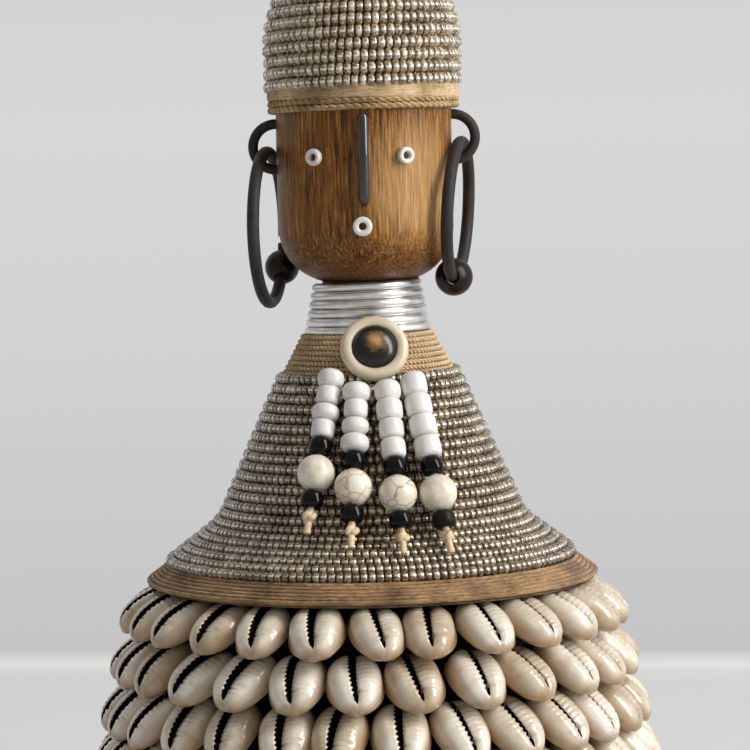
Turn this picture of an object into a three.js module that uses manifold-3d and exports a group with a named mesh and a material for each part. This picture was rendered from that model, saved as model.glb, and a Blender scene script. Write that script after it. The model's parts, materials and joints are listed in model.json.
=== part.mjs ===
// A namji doll: a carved wooden figure with a beaded hat, a wire necklace, a beaded cape
// with a medallion and pendant strands, hoop earrings and a skirt of cowrie shells.
// Millimetres, +Z up, the base stands at z = 0 and the face looks along -Y.
import * as THREE from "three";
import { mergeVertices } from "three/addons/utils/BufferGeometryUtils.js";
import Module from "manifold-3d";

// Fits: the gap between pieces that touch, and the gap between turns of one winding
const clearance = 0.3;
const turnGap = 0.46;
const hatTurnGap = 0.8;

// Skirt form and its rows of cowries
const skirtBaseRadius = 70.2;
const skirtLean = THREE.MathUtils.degToRad(17.06);
const rowCount = 6;
const lowestTip = 6.5;
const rowPitch = 12.4;
const topSplay = THREE.MathUtils.degToRad(62);
const bottomSplay = THREE.MathUtils.degToRad(34);
const shellLength = 19;
const shellWidth = 13.6;
const shellThickness = 4.9;
const shellRim = 2.2;
const shellSeam = 4;
const shellEnd = 5;
const lipLength = 9.5;
const slitWidth = 2.6;
const slitDepth = 2;
const rowMultiple = 2;
const rowStagger = 0.7;

// Cape form: a flared brim, a round bend and a steep cone up to the shoulders
const brimInset = 14.5;
const brimThickness = 1.2;
const flareLean = THREE.MathUtils.degToRad(53);
const bendRadius = 14.6;
const coneLean = THREE.MathUtils.degToRad(24);
const coneLength = 36;
const shoulderLean = THREE.MathUtils.degToRad(27.6);
const shoulderLength = 12;
const collarStep = 1.35;
const pegRadius = 8;
const pegDepth = 34;

// Cords, wire and beads that are wound round the figure
const seedBead = 2.1;
const brimCord = 1.1;
const brimTurns = 4;
const twine = 0.85;
const neckWire = 1.65;
const bandCord = 1.5;
const windingStart = Math.PI;

// Carved figure
const neckBottomRadius = 13.8;
const neckTopRadius = 11.3;
const neckHeight = 12.6;
const headRadius = 22;
const headCorner = 14;
const headHeight = 49.4;
const bandHeight = 7.6;

// Beaded hat
const capInset = 0.1;
const capThickness = 1.6;
const capWall = 9.5;
const domeHeight = 23;

// Face
const leftEyeTurn = THREE.MathUtils.degToRad(-32.4);
const rightEyeTurn = THREE.MathUtils.degToRad(26.3);
const mouthTurn = THREE.MathUtils.degToRad(-1.9);
const noseTurn = THREE.MathUtils.degToRad(-0.3);
const eyeDrop = 10.6;
const mouthGap = 0.8;
const eyeDiameter = 4.2;
const mouthDiameter = 4.8;
const faceBeadHole = 1.5;
const faceBeadThickness = 1.8;
const faceBeadChamfer = 0.45;
const noseDiameter = 2.6;
const noseLength = 22.8;
const noseBend = 2.6;
const noseDepth = 2.5;

// Ear loops, hoops and their beads
const earWire = 2.5;
const earDepth = 3.5;
const leftEarGap = 0.8;
const rightEarGap = -0.8;
const leftHoopDiameter = 40.5;
const rightHoopDiameter = 37;
const hoopWire = 3.1;
const hoopDrop = 1.3;
const leftHoopYaw = THREE.MathUtils.degToRad(10);
const rightHoopYaw = THREE.MathUtils.degToRad(-10.5);
const rightHoopLean = THREE.MathUtils.degToRad(4);
const hoopGapAngle = THREE.MathUtils.degToRad(79);
const hoopGap = 2;
const leftBeadAngle = THREE.MathUtils.degToRad(56);
const rightBeadAngle = THREE.MathUtils.degToRad(-4);
const leftHoopBead = 8.8;
const rightHoopBead = 10;
const hoopBeadPlay = 0.55;

// Medallion and pendant strands
const medallionTurn = THREE.MathUtils.degToRad(4);
const medallionRise = 7;
const medallionLean = THREE.MathUtils.degToRad(23);
const medallionLift = 0.8;
const medallionDiameter = 16.7;
const medallionThickness = 3.6;
const medallionRound = 1.2;
const domeDiameter = 11;
const domeRim = 2.8;
const domeRise = 2.8;
const strandTurns = [-20.2, -6.3, 9, 23.1].map(THREE.MathUtils.degToRad);
const strandDrops = [-0.8, 2.7, 2.2, 0.6];
const whiteBeadHeights = [4.1, 4.1, 4.7, 5.2];
const strandTilt = THREE.MathUtils.degToRad(3.2);
const strandCord = 1.7;
const whiteBeadDiameter = 6.2;
const blackBead = { diameter: 5.7, height: 4.2 };
const stoneBead = { diameter: 9.2, height: 8.9 };
const whiteBeadCount = 4;
const cordLead = 0.4;
const knotDiameter = 3.7;
const tailLength = 2.4;

// Facets round the forms and the wound pieces, so that each winding lies true on its form
const facets = 16;
const beadFacets = 8;
const cordFacets = 8;
const windingSides = 4;
const hoopSides = 6;
const hoopSteps = 24;
const bowSteps = 8;
const arcSteps = 4;
const domeSteps = 6;

const wasm = await Module();
wasm.setup();
const doll = new THREE.Group();
doll.name = "namji_doll";

const wood = { color: 0x7a4a26, roughness: 0.55, metalness: 0 };
const cloth = { color: 0x9a7f5e, roughness: 0.95, metalness: 0 };
const jute = { color: 0xab8a5c, roughness: 0.95, metalness: 0 };
const seedGlass = { color: 0xa89a86, roughness: 0.25, metalness: 0.3 };
const aluminium = { color: 0xc9ccd0, roughness: 0.3, metalness: 1 };
const cowrie = { color: 0xd9c7a6, roughness: 0.3, metalness: 0 };
const charcoal = { color: 0x2e2b29, roughness: 0.6, metalness: 0 };
const darkWood = { color: 0x17110f, roughness: 0.3, metalness: 0 };
const bone = { color: 0xe9dfc8, roughness: 0.35, metalness: 0 };
const lacquer = { color: 0x1a1512, roughness: 0.2, metalness: 0 };
const whiteGlass = { color: 0xf1eee6, roughness: 0.3, metalness: 0 };
const blackGlass = { color: 0x0f0f10, roughness: 0.15, metalness: 0 };
const howlite = { color: 0xe8dfcc, roughness: 0.4, metalness: 0 };
const leather = { color: 0xb48f64, roughness: 0.85, metalness: 0 };

function addPiece(parent, name, geometry, finish) {
  const mesh = new THREE.Mesh(geometry, new THREE.MeshStandardMaterial(finish));
  mesh.name = name;
  parent.add(mesh);
  return mesh;
}

function groupAt(parent, turn, position, tilt) {
  const carrier = new THREE.Group();
  carrier.rotation.z = turn;
  const seat = new THREE.Group();
  seat.position.copy(position);
  seat.rotation.x = tilt;
  carrier.add(seat);
  parent.add(carrier);
  return seat;
}

// A solid of revolution about Z from a profile of radius and height, listed upwards.
function turned(profile, segments) {
  const points = profile.map(([radius, height]) => new THREE.Vector2(radius, height));
  return new THREE.LatheGeometry(points, segments).rotateX(Math.PI / 2);
}

function solidOf(geometry) {
  const loose = geometry.index ? geometry.toNonIndexed() : geometry;
  const bare = new THREE.BufferGeometry();
  bare.setAttribute("position", loose.getAttribute("position"));
  const merged = mergeVertices(bare, 1e-4);
  const vertProperties = merged.getAttribute("position").array;
  const triVerts = new Uint32Array(merged.index.array);
  return new wasm.Manifold(new wasm.Mesh({ numProp: 3, vertProperties, triVerts }));
}

function cutFrom(geometry, cutters) {
  const cut = cutters.reduce((rest, cutter) => rest.subtract(solidOf(cutter)), solidOf(geometry));
  const { vertProperties, triVerts } = cut.getMesh();
  const result = new THREE.BufferGeometry();
  result.setAttribute("position", new THREE.BufferAttribute(vertProperties, 3));
  result.setIndex(new THREE.BufferAttribute(triVerts, 1));
  return result;
}

// A closed tube through rings, each with a centre and two directions across the tube.
function tube(rings, radius, sides, isLoop = false) {
  const positions = [];
  for (const { centre, across, over } of rings) {
    for (let side = 0; side < sides; side++) {
      const angle = (side / sides) * 2 * Math.PI;
      const point = centre.clone();
      point.addScaledVector(across, radius * Math.cos(angle));
      point.addScaledVector(over, radius * Math.sin(angle));
      positions.push(point.x, point.y, point.z);
    }
  }
  const indices = [];
  const forward = rings[1].centre.clone().sub(rings[0].centre);
  const isTurned = forward.dot(rings[0].over.clone().cross(rings[0].across)) < 0;
  const addTriangle = (a, b, c) => indices.push(...(isTurned ? [a, c, b] : [a, b, c]));
  const joints = isLoop ? rings.length : rings.length - 1;
  for (let ring = 0; ring < joints; ring++) {
    const here = ring * sides;
    const there = ((ring + 1) % rings.length) * sides;
    for (let side = 0; side < sides; side++) {
      const next = (side + 1) % sides;
      addTriangle(here + side, there + side, there + next);
      addTriangle(here + side, there + next, here + next);
    }
  }
  const last = (rings.length - 1) * sides;
  for (let side = 1; !isLoop && side < sides - 1; side++) {
    addTriangle(0, side, side + 1);
    addTriangle(last, last + side + 1, last + side);
  }
  const geometry = new THREE.BufferGeometry();
  geometry.setAttribute("position", new THREE.Float32BufferAttribute(positions, 3));
  geometry.setIndex(indices);
  return geometry;
}

// The least gap of a winding to itself, measured between points of turns that lie side by side.
function leastGap(centres, diameter, stepsPerTurn) {
  let nearest = Infinity;
  for (let i = 0; i < centres.length; i++) {
    for (let j = i + Math.ceil(stepsPerTurn / 2); j < centres.length; j++) {
      nearest = Math.min(nearest, centres[i].distanceTo(centres[j]));
    }
  }
  return nearest - diameter;
}

// One unbroken tube wound upwards along a profile line, between two heights on that line.
function addWinding(name, line, from, to, diameter, finish, gapWanted = turnGap) {
  const run = to - from - diameter;
  const turns = Math.max(1, Math.floor(run / (diameter + gapWanted)));
  const length = line.getLength();
  const rings = [];
  for (let step = 0; step <= turns * facets; step++) {
    const share = (from + diameter / 2 + (run * step) / (turns * facets)) / length;
    const { x: radius, y: height } = line.getPoint(share);
    const along = line.getTangent(share);
    const angle = windingStart + (step / facets) * 2 * Math.PI;
    const outward = new THREE.Vector3(Math.sin(angle), -Math.cos(angle), 0);
    const centre = outward.clone().multiplyScalar(radius).setZ(height);
    const across = outward.clone().multiplyScalar(along.y).setZ(-along.x);
    const over = outward.clone().multiplyScalar(along.x).setZ(along.y);
    rings.push({ centre, across, over });
  }
  const gap = leastGap(rings.map((ring) => ring.centre), diameter, facets);
  console.log(`${name}: ${turns} turns, least gap to itself ${gap.toFixed(2)} mm`);
  addPiece(doll, name, tube(rings, diameter / 2, windingSides), finish);
}

function lineBetween(start, end) {
  return new THREE.LineCurve(new THREE.Vector2(...start), new THREE.Vector2(...end));
}

function lineOf(...curves) {
  const line = new THREE.CurvePath();
  curves.forEach((curve) => line.add(curve));
  return line;
}

function pointsOf(curve, count) {
  return curve.getPoints(count).map((point) => [point.x, point.y]);
}

// Radii of the cape that follow from the neck and from the skirt it stands on
const brimRadius = skirtBaseRadius - brimInset;
const capeTopRadius = neckBottomRadius + collarStep;
const coneTopRadius = capeTopRadius + shoulderLength * Math.sin(shoulderLean);
const coneBottomRadius = coneTopRadius + coneLength * Math.sin(coneLean);
const flareTopRadius = coneBottomRadius + bendRadius * (Math.cos(coneLean) - Math.cos(flareLean));
const flareLength = (brimRadius - flareTopRadius) / Math.sin(flareLean);

// Heights that follow from the sizes above
const skirtRadiusAt = (height) => skirtBaseRadius - height * Math.tan(skirtLean);
const topSeatHeight = lowestTip + rowPitch * (rowCount - 1) + shellLength * Math.cos(topSplay);
const topLipRadius =
  skirtRadiusAt(topSeatHeight) +
  clearance +
  (lipLength / 2) * Math.sin(topSplay) +
  shellThickness * Math.cos(topSplay);
const topLipHeight =
  topSeatHeight - (lipLength / 2) * Math.cos(topSplay) + shellThickness * Math.sin(topSplay);

// The brim's underside clears the lips of the top row and meets the skirt form's top edge
const undersideGap = clearance / Math.sin(flareLean);
const lipReach = topLipRadius / Math.cos(Math.PI / facets);
const skirtHeight =
  (topLipHeight + undersideGap - clearance - (skirtBaseRadius - lipReach) / Math.tan(flareLean)) /
  (1 - Math.tan(skirtLean) / Math.tan(flareLean));
const skirtTopRadius = skirtRadiusAt(skirtHeight);
const capeFloor = skirtHeight + clearance;
const undersideRun = brimRadius - skirtTopRadius;
const brimHeight = capeFloor + brimThickness / Math.sin(flareLean) - undersideRun / Math.tan(flareLean);

// The cape's outer line, moved outwards by an offset, from the brim up to the shoulders.
function capeCurves(offset) {
  const brim = [
    brimRadius + offset * Math.cos(flareLean),
    brimHeight + offset * Math.sin(flareLean),
  ];
  const flareTop = [
    brim[0] - flareLength * Math.sin(flareLean),
    brim[1] + flareLength * Math.cos(flareLean),
  ];
  const bend = bendRadius - offset;
  const centre = [
    flareTop[0] + bend * Math.cos(flareLean),
    flareTop[1] + bend * Math.sin(flareLean),
  ];
  const startAngle = Math.PI + flareLean;
  const endAngle = Math.PI + coneLean;
  const arc = new THREE.EllipseCurve(...centre, bend, bend, startAngle, endAngle, true);
  const coneBottom = [centre[0] - bend * Math.cos(coneLean), centre[1] - bend * Math.sin(coneLean)];
  const coneTop = [
    coneBottom[0] - coneLength * Math.sin(coneLean),
    coneBottom[1] + coneLength * Math.cos(coneLean),
  ];
  return { flare: lineBetween(brim, flareTop), arc, cone: lineBetween(coneBottom, coneTop) };
}

function shoulderLine(offset) {
  const coneTop = capeCurves(0).cone.v2;
  const start = [
    coneTop.x + offset * Math.cos(shoulderLean),
    coneTop.y + offset * Math.sin(shoulderLean),
  ];
  const end = [
    start[0] - shoulderLength * Math.sin(shoulderLean),
    start[1] + shoulderLength * Math.cos(shoulderLean),
  ];
  return lineBetween(start, end);
}

const capeTop = shoulderLine(0).v2;
const neckFloor = capeTop.y + clearance;
const headFloor = neckFloor + neckHeight;
const bandFloor = headFloor + headHeight - bandHeight;
const headTop = headFloor + headHeight;
const capFloor = headTop + clearance;
const capRadius = headRadius - capInset;

function neckLine(offset) {
  return lineBetween(
    [neckBottomRadius + offset, neckFloor],
    [neckTopRadius + offset, neckFloor + neckHeight],
  );
}

function hatCurves(offset) {
  const radius = capRadius + offset;
  const wall = lineBetween([radius, capFloor], [radius, capFloor + capWall]);
  const rise = domeHeight + offset;
  const dome = new THREE.EllipseCurve(0, capFloor + capWall, radius, rise, 0, Math.PI / 2);
  return { wall, dome };
}

// Skirt and cape forms
addPiece(
  doll,
  "skirt_form",
  turned(
    [
      [0, 0],
      [skirtBaseRadius, 0],
      [skirtTopRadius, skirtHeight],
      [0, skirtHeight],
    ],
    facets,
  ),
  cloth,
);

const cape = capeCurves(0);
const pegFloor = neckFloor - pegDepth;
const boreRadius = pegRadius + clearance;
addPiece(
  doll,
  "cape_form",
  turned(
    [
      [0, capeFloor],
      [skirtTopRadius, capeFloor],
      [brimRadius - brimThickness * Math.cos(flareLean), brimHeight - brimThickness * Math.sin(flareLean)],
      [cape.flare.v1.x, cape.flare.v1.y],
      ...pointsOf(cape.arc, arcSteps),
      [cape.cone.v2.x, cape.cone.v2.y],
      [capeTop.x, capeTop.y],
      [boreRadius, capeTop.y],
      [boreRadius, pegFloor - clearance],
      [0, pegFloor - clearance],
    ],
    facets,
  ),
  cloth,
);

// One row of cowries, mouth side outwards, joined where each shell touches the next
function cowrieRow(row) {
  const share = row / (rowCount - 1);
  const splay = topSplay + (bottomSplay - topSplay) * share;
  const tipHeight = lowestTip + rowPitch * (rowCount - 1 - row);
  const seatHeight = tipHeight + shellLength * Math.cos(splay);
  const seatRadius = skirtRadiusAt(seatHeight) + clearance;
  const midRadius = seatRadius + (shellLength / 2) * Math.sin(splay);
  const midHeight = (tipHeight + seatHeight) / 2;
  const groups = Math.round((2 * Math.PI * midRadius) / shellWidth / rowMultiple);
  const count = rowMultiple * Math.max(1, groups);
  const halfTurn = Math.PI / count;
  const positions = [];

  function addShell(angle) {
    const outward = new THREE.Vector3(Math.sin(angle), -Math.cos(angle), 0);
    const sideways = new THREE.Vector3(Math.cos(angle), Math.sin(angle), 0);
    const reach = (down, lift) => midRadius + down * Math.sin(splay) + lift * Math.cos(splay);
    const point = (down, aside, lift) =>
      outward
        .clone()
        .multiplyScalar(reach(down, lift))
        .addScaledVector(sideways, aside)
        .setZ(midHeight - down * Math.cos(splay) + lift * Math.sin(splay));
    const seam = (down, lift) => reach(down, lift) * Math.tan(halfTurn);
    const outline = (lift) => {
      const half = shellLength / 2;
      const right = [
        point(-half, shellEnd / 2, lift),
        point(-shellSeam / 2, seam(-shellSeam / 2, lift), lift),
        point(shellSeam / 2, seam(shellSeam / 2, lift), lift),
        point(half, shellEnd / 2, lift),
      ];
      const left = [
        point(half, -shellEnd / 2, lift),
        point(shellSeam / 2, -seam(shellSeam / 2, lift), lift),
        point(-shellSeam / 2, -seam(-shellSeam / 2, lift), lift),
        point(-half, -shellEnd / 2, lift),
      ];
      return [...right, ...left];
    };
    const back = outline(0);
    const rim = outline(shellRim);
    const lip = (down, side) => point(down, (side * slitWidth) / 2, shellThickness);
    const groove = (down) => point(down, 0, shellThickness - slitDepth);
    const lipEnd = lipLength / 2;
    const [rightTop, rightLow] = [lip(-lipEnd, 1), lip(lipEnd, 1)];
    const [leftTop, leftLow] = [lip(-lipEnd, -1), lip(lipEnd, -1)];
    const [slitTop, slitLow] = [groove(-lipEnd), groove(lipEnd)];
    const triangles = [
      [rim[0], rightTop, rim[1]],
      [rim[1], rightTop, rightLow],
      [rim[1], rightLow, rim[2]],
      [rim[2], rightLow, rim[3]],
      [rim[4], leftLow, rim[5]],
      [rim[5], leftLow, leftTop],
      [rim[5], leftTop, rim[6]],
      [rim[6], leftTop, rim[7]],
      [rightTop, slitTop, slitLow],
      [rightTop, slitLow, rightLow],
      [leftLow, slitLow, slitTop],
      [leftLow, slitTop, leftTop],
      [rim[0], slitTop, rightTop],
      [rim[7], slitTop, rim[0]],
      [rim[7], leftTop, slitTop],
      [rim[4], slitLow, leftLow],
      [rim[3], slitLow, rim[4]],
      [rim[3], rightLow, slitLow],
    ];
    for (let corner = 1; corner < back.length - 1; corner++) {
      triangles.push([back[0], back[corner], back[corner + 1]]);
    }
    for (let corner = 0; corner < back.length; corner++) {
      const next = (corner + 1) % back.length;
      const isSeam = corner === 1 || corner === 5;
      if (!isSeam) {
        triangles.push([back[corner], rim[corner], rim[next]]);
        triangles.push([back[corner], rim[next], back[next]]);
      }
    }
    triangles.flat().forEach((corner) => positions.push(corner.x, corner.y, corner.z));
  }

  const stagger = 2 * halfTurn * ((row * rowStagger) % 1);
  for (let shell = 0; shell < count; shell++) {
    addShell(stagger + shell * 2 * halfTurn);
  }
  const geometry = new THREE.BufferGeometry();
  geometry.setAttribute("position", new THREE.Float32BufferAttribute(positions, 3));
  return mergeVertices(geometry, 1e-4);
}

for (let row = 0; row < rowCount; row++) {
  addPiece(doll, `cowrie_row_${row + 1}`, cowrieRow(row), cowrie);
}

// Windings on the cape, the shoulders and the neck
function capeLineFor(diameter) {
  const { flare, arc, cone } = capeCurves(clearance + diameter / 2);
  return lineOf(flare, arc, cone);
}

const brimEnd = brimTurns * (brimCord + turnGap) + brimCord;
addWinding("brim_cord", capeLineFor(brimCord), 0, brimEnd, brimCord, jute);
const beadLine = capeLineFor(seedBead);
const beadStart = brimEnd + clearance;
addWinding("cape_bead_strand", beadLine, beadStart, beadLine.getLength(), seedBead, seedGlass);
const twineLine = lineOf(shoulderLine(clearance + twine / 2));
const twineStart = clearance;
addWinding("shoulder_twine", twineLine, twineStart, shoulderLength, twine, jute);
const wireLine = lineOf(neckLine(clearance + neckWire / 2));
const wireStart = clearance;
const wireEnd = wireLine.getLength() - clearance;
addWinding("neck_wire", wireLine, wireStart, wireEnd, neckWire, aluminium);

// Ear loops: half rings of wire below the hat band, whose legs are set in the sides of the head
const hoopStandoff = headRadius + hoopWire / 2 + clearance;
const hoopSeat = (yaw) => hoopStandoff / Math.cos(yaw);
const earLoopRadius = (yaw) =>
  earWire / 2 + clearance + hoopWire / 2 + Math.hypot(hoopSeat(yaw) - headRadius, hoopDrop);
const earTop = headHeight - bandHeight - earWire / 2;
const leftEarHeight = earTop - leftEarGap - earLoopRadius(leftHoopYaw);
const rightEarHeight = earTop - rightEarGap - earLoopRadius(rightHoopYaw);

function earLoop(side, height, yaw, radius, extraDepth) {
  const bow = earLoopRadius(yaw);
  const depth = earDepth + extraDepth;
  const over = new THREE.Vector3(0, 1, 0);
  const ring = (out, up, across) => ({
    centre: new THREE.Vector3(side * (headRadius + out), 0, headFloor + height + up),
    across,
    over,
  });
  const rings = [ring(-depth, -bow, new THREE.Vector3(0, 0, -1))];
  for (let step = 0; step <= bowSteps; step++) {
    const angle = -Math.PI / 2 + (Math.PI * step) / bowSteps;
    const across = new THREE.Vector3(side * Math.cos(angle), 0, Math.sin(angle));
    rings.push(ring(bow * Math.cos(angle), bow * Math.sin(angle), across));
  }
  rings.push(ring(-depth, bow, new THREE.Vector3(0, 0, 1)));
  return tube(rings, radius, cordFacets);
}

// The nose: a rod that lies on the face and bends into it at its lower end
const noseTop = bandFloor - clearance;
const noseFoot = noseTop - noseLength - noseDiameter / 2;

function noseRod(radius, extraDepth) {
  const front = -(headRadius + clearance + noseDiameter / 2);
  const bendHeight = noseTop - noseLength + noseBend;
  const over = new THREE.Vector3(1, 0, 0);
  const rings = [
    { centre: new THREE.Vector3(0, front, noseTop), across: new THREE.Vector3(0, -1, 0), over },
  ];
  for (let step = 0; step <= arcSteps; step++) {
    const angle = (Math.PI / 2) * (step / arcSteps);
    const across = new THREE.Vector3(0, -Math.cos(angle), -Math.sin(angle));
    const centre = new THREE.Vector3(0, front + noseBend, bendHeight);
    rings.push({ centre: centre.addScaledVector(across, noseBend), across, over });
  }
  const end = new THREE.Vector3(0, front + noseBend + noseDepth + extraDepth, bendHeight - noseBend);
  rings.push({ centre: end, across: new THREE.Vector3(0, 0, -1), over });
  return tube(rings, radius, cordFacets).rotateZ(noseTurn);
}

// Carved figure: a peg in the cape form, a tapered neck, the head and a crown inside the cap
const cornerStart = Math.asin((neckTopRadius - headRadius + headCorner) / headCorner);
const cornerCentre = [headRadius - headCorner, headFloor + headCorner];
const headCornerArc = new THREE.EllipseCurve(
  ...cornerCentre,
  headCorner,
  headCorner,
  cornerStart - Math.PI / 2,
  0,
);
const crown = hatCurves(-capThickness - clearance);
const figureBlank = turned(
  [
    [0, pegFloor],
    [pegRadius, pegFloor],
    [pegRadius, neckFloor],
    [neckBottomRadius, neckFloor],
    [neckTopRadius, headFloor],
    ...pointsOf(headCornerArc, domeSteps),
    [headRadius, headTop],
    [crown.wall.v1.x, headTop],
    ...pointsOf(crown.dome, domeSteps),
  ],
  facets,
);
const figure = cutFrom(figureBlank, [
  earLoop(-1, leftEarHeight, leftHoopYaw, earWire / 2 + clearance, clearance),
  earLoop(1, rightEarHeight, rightHoopYaw, earWire / 2 + clearance, clearance),
  noseRod(noseDiameter / 2 + clearance, clearance),
]);
addPiece(doll, "carved_figure", figure, wood);
addPiece(doll, "left_ear_loop", earLoop(-1, leftEarHeight, leftHoopYaw, earWire / 2, 0), charcoal);
addPiece(doll, "right_ear_loop", earLoop(1, rightEarHeight, rightHoopYaw, earWire / 2, 0), charcoal);
addPiece(doll, "nose_rod", noseRod(noseDiameter / 2, 0), charcoal);

// Face beads: short rings that stand on the face, the eyes below the band and the mouth below the nose
function addFaceBead(name, turn, height, diameter) {
  const front = new THREE.Vector3(0, -(headRadius + clearance), height);
  const seat = groupAt(doll, turn, front, Math.PI / 2);
  const hole = faceBeadHole / 2;
  const outer = diameter / 2;
  const profile = [
    [hole, 0],
    [outer, 0],
    [outer, faceBeadThickness - faceBeadChamfer],
    [outer - faceBeadChamfer, faceBeadThickness],
    [hole, faceBeadThickness],
    [hole, 0],
  ];
  addPiece(seat, name, turned(profile, beadFacets), whiteGlass);
}
const eyeHeight = bandFloor - eyeDrop;
const mouthHeight = noseFoot - mouthGap - mouthDiameter / 2;
addFaceBead("left_eye_bead", leftEyeTurn, eyeHeight, eyeDiameter);
addFaceBead("right_eye_bead", rightEyeTurn, eyeHeight, eyeDiameter);
addFaceBead("mouth_bead", mouthTurn, mouthHeight, mouthDiameter);

// Hat: a band of cord, a cap and the strand of beads wound over it
const bandLine = lineOf(
  lineBetween(
    [headRadius + clearance + bandCord / 2, bandFloor],
    [headRadius + clearance + bandCord / 2, headTop],
  ),
);
addWinding("hat_band_cord", bandLine, 0, bandHeight, bandCord, jute);
const capOuter = hatCurves(0);
const capInner = hatCurves(-capThickness);
addPiece(
  doll,
  "hat_cap",
  turned(
    [
      [capInner.wall.v1.x, capFloor],
      [capOuter.wall.v1.x, capFloor],
      ...pointsOf(capOuter.dome, domeSteps),
      ...pointsOf(capInner.dome, domeSteps).reverse(),
      [capInner.wall.v1.x, capFloor],
    ],
    facets,
  ),
  cloth,
);
const hatBeads = hatCurves(clearance + seedBead / 2);
const hatLine = lineOf(hatBeads.wall, hatBeads.dome);
const hatEnd = hatLine.getLength() - seedBead / 2;
addWinding("hat_bead_strand", hatLine, 0, hatEnd, seedBead, seedGlass, hatTurnGap);

// Hoops: rings of wire that hang in the ear loops, each with one loose bead
function hoopRing(hoopRadius, openFrom, openTo) {
  const isLoop = openFrom === openTo;
  const sweep = isLoop ? 2 * Math.PI : 2 * Math.PI - (openTo - openFrom);
  const over = new THREE.Vector3(1, 0, 0);
  const rings = [];
  for (let step = 0; step < (isLoop ? hoopSteps : hoopSteps + 1); step++) {
    const angle = openTo + (sweep * step) / hoopSteps;
    const across = new THREE.Vector3(0, Math.sin(angle), -Math.cos(angle));
    rings.push({ centre: across.clone().multiplyScalar(hoopRadius), across, over });
  }
  return tube(rings, hoopWire / 2, hoopSides, isLoop);
}

function roundBead(diameter, bore) {
  const reach = Math.acos(bore / diameter);
  const ball = new THREE.EllipseCurve(0, 0, diameter / 2, diameter / 2, -reach, reach);
  const outline = pointsOf(ball, domeSteps);
  return turned([...outline, outline[0]], beadFacets);
}

// The lean of a hoop whose lowest bead rests against the head's side or its rounded lower corner.
function leanOnHead(hookHeight, yaw, hoopRadius, beadDiameter) {
  const reach = 2 * hoopRadius;
  const standoff = beadDiameter / 2 + clearance;
  const sideLean = Math.asin((hoopSeat(yaw) - headRadius - standoff) / reach);
  const aside = hoopSeat(yaw) - cornerCentre[0];
  const above = hookHeight - cornerCentre[1];
  if (reach * Math.cos(sideLean) < above) {
    return sideLean;
  }
  const contact = headCorner + standoff;
  const distance = Math.hypot(aside, above);
  const between = Math.acos((reach ** 2 + distance ** 2 - contact ** 2) / (2 * reach * distance));
  return Math.atan2(aside, above) - between;
}

function addHoop(sideName, side, hookHeight, yaw, lean, hoopRadius, gap, beadDiameter, beadAngle) {
  const hook = new THREE.Group();
  hook.position.set(side * hoopSeat(yaw), 0, hookHeight);
  hook.rotation.set(0, side * lean, side * yaw, "ZYX");
  doll.add(hook);
  const hanger = new THREE.Group();
  hanger.position.z = -hoopRadius;
  hook.add(hanger);
  const halfGap = gap / hoopRadius / 2;
  const ring = hoopRing(hoopRadius, hoopGapAngle - halfGap, hoopGapAngle + halfGap);
  addPiece(hanger, `${sideName}_hoop`, ring, charcoal);
  const bore = hoopWire + 2 * hoopBeadPlay;
  const halfLength = Math.sqrt(beadDiameter ** 2 - bore ** 2) / 2;
  const sag = halfLength ** 2 / (2 * hoopRadius);
  const carrier = new THREE.Group();
  carrier.rotation.x = beadAngle;
  hanger.add(carrier);
  const bead = addPiece(carrier, `${sideName}_hoop_bead`, roundBead(beadDiameter, bore), darkWood);
  bead.rotation.x = Math.PI / 2;
  bead.position.z = -(hoopRadius - sag / 2);
}
const leftRadius = (leftHoopDiameter - hoopWire) / 2;
const leftHook = headFloor + leftEarHeight - hoopDrop;
addHoop("left", -1, leftHook, leftHoopYaw, 0, leftRadius, hoopGap, leftHoopBead, leftBeadAngle);
const rightRadius = (rightHoopDiameter - hoopWire) / 2;
const rightHook = headFloor + rightEarHeight - hoopDrop;
const restingLean = leanOnHead(rightHook, rightHoopYaw, rightRadius, rightHoopBead);
addHoop(
  "right",
  1,
  rightHook,
  rightHoopYaw,
  Math.min(rightHoopLean, restingLean),
  rightRadius,
  0,
  rightHoopBead,
  rightBeadAngle,
);

// Medallion: a bone ring with a lacquered dome in its hole, lying on the shoulder twine
const shoulderFace = shoulderLine(clearance + twine + clearance + medallionLift);
const medallionSeat = shoulderFace.getPoint(medallionRise / shoulderLength);
const medallion = groupAt(
  doll,
  medallionTurn,
  new THREE.Vector3(0, -medallionSeat.x, medallionSeat.y),
  Math.PI / 2 - medallionLean,
);
const ringHole = domeDiameter / 2 + clearance;
const ringOuter = medallionDiameter / 2;
addPiece(
  medallion,
  "medallion_ring",
  turned(
    [
      [ringHole, 0],
      [ringOuter - medallionRound, 0],
      [ringOuter, medallionRound],
      [ringOuter, medallionThickness - medallionRound],
      [ringOuter - medallionRound, medallionThickness],
      [ringHole, medallionThickness],
      [ringHole, 0],
    ],
    facets,
  ),
  bone,
);
const domeArc = new THREE.EllipseCurve(0, domeRim, domeDiameter / 2, domeRise, 0, Math.PI / 2);
addPiece(
  medallion,
  "medallion_dome",
  turned([[0, 0], [domeDiameter / 2, 0], ...pointsOf(domeArc, arcSteps)], facets),
  lacquer,
);

// Pendant strands: beads on a knotted cord that leans on the beaded cape
function barrelBead(size, bore) {
  const outer = size.diameter / 2;
  const half = size.height / 2;
  const profile = [
    [bore, -half],
    [outer, -half / 2],
    [outer, half / 2],
    [bore, half],
    [bore, -half],
  ];
  return turned(profile, beadFacets);
}

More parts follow.
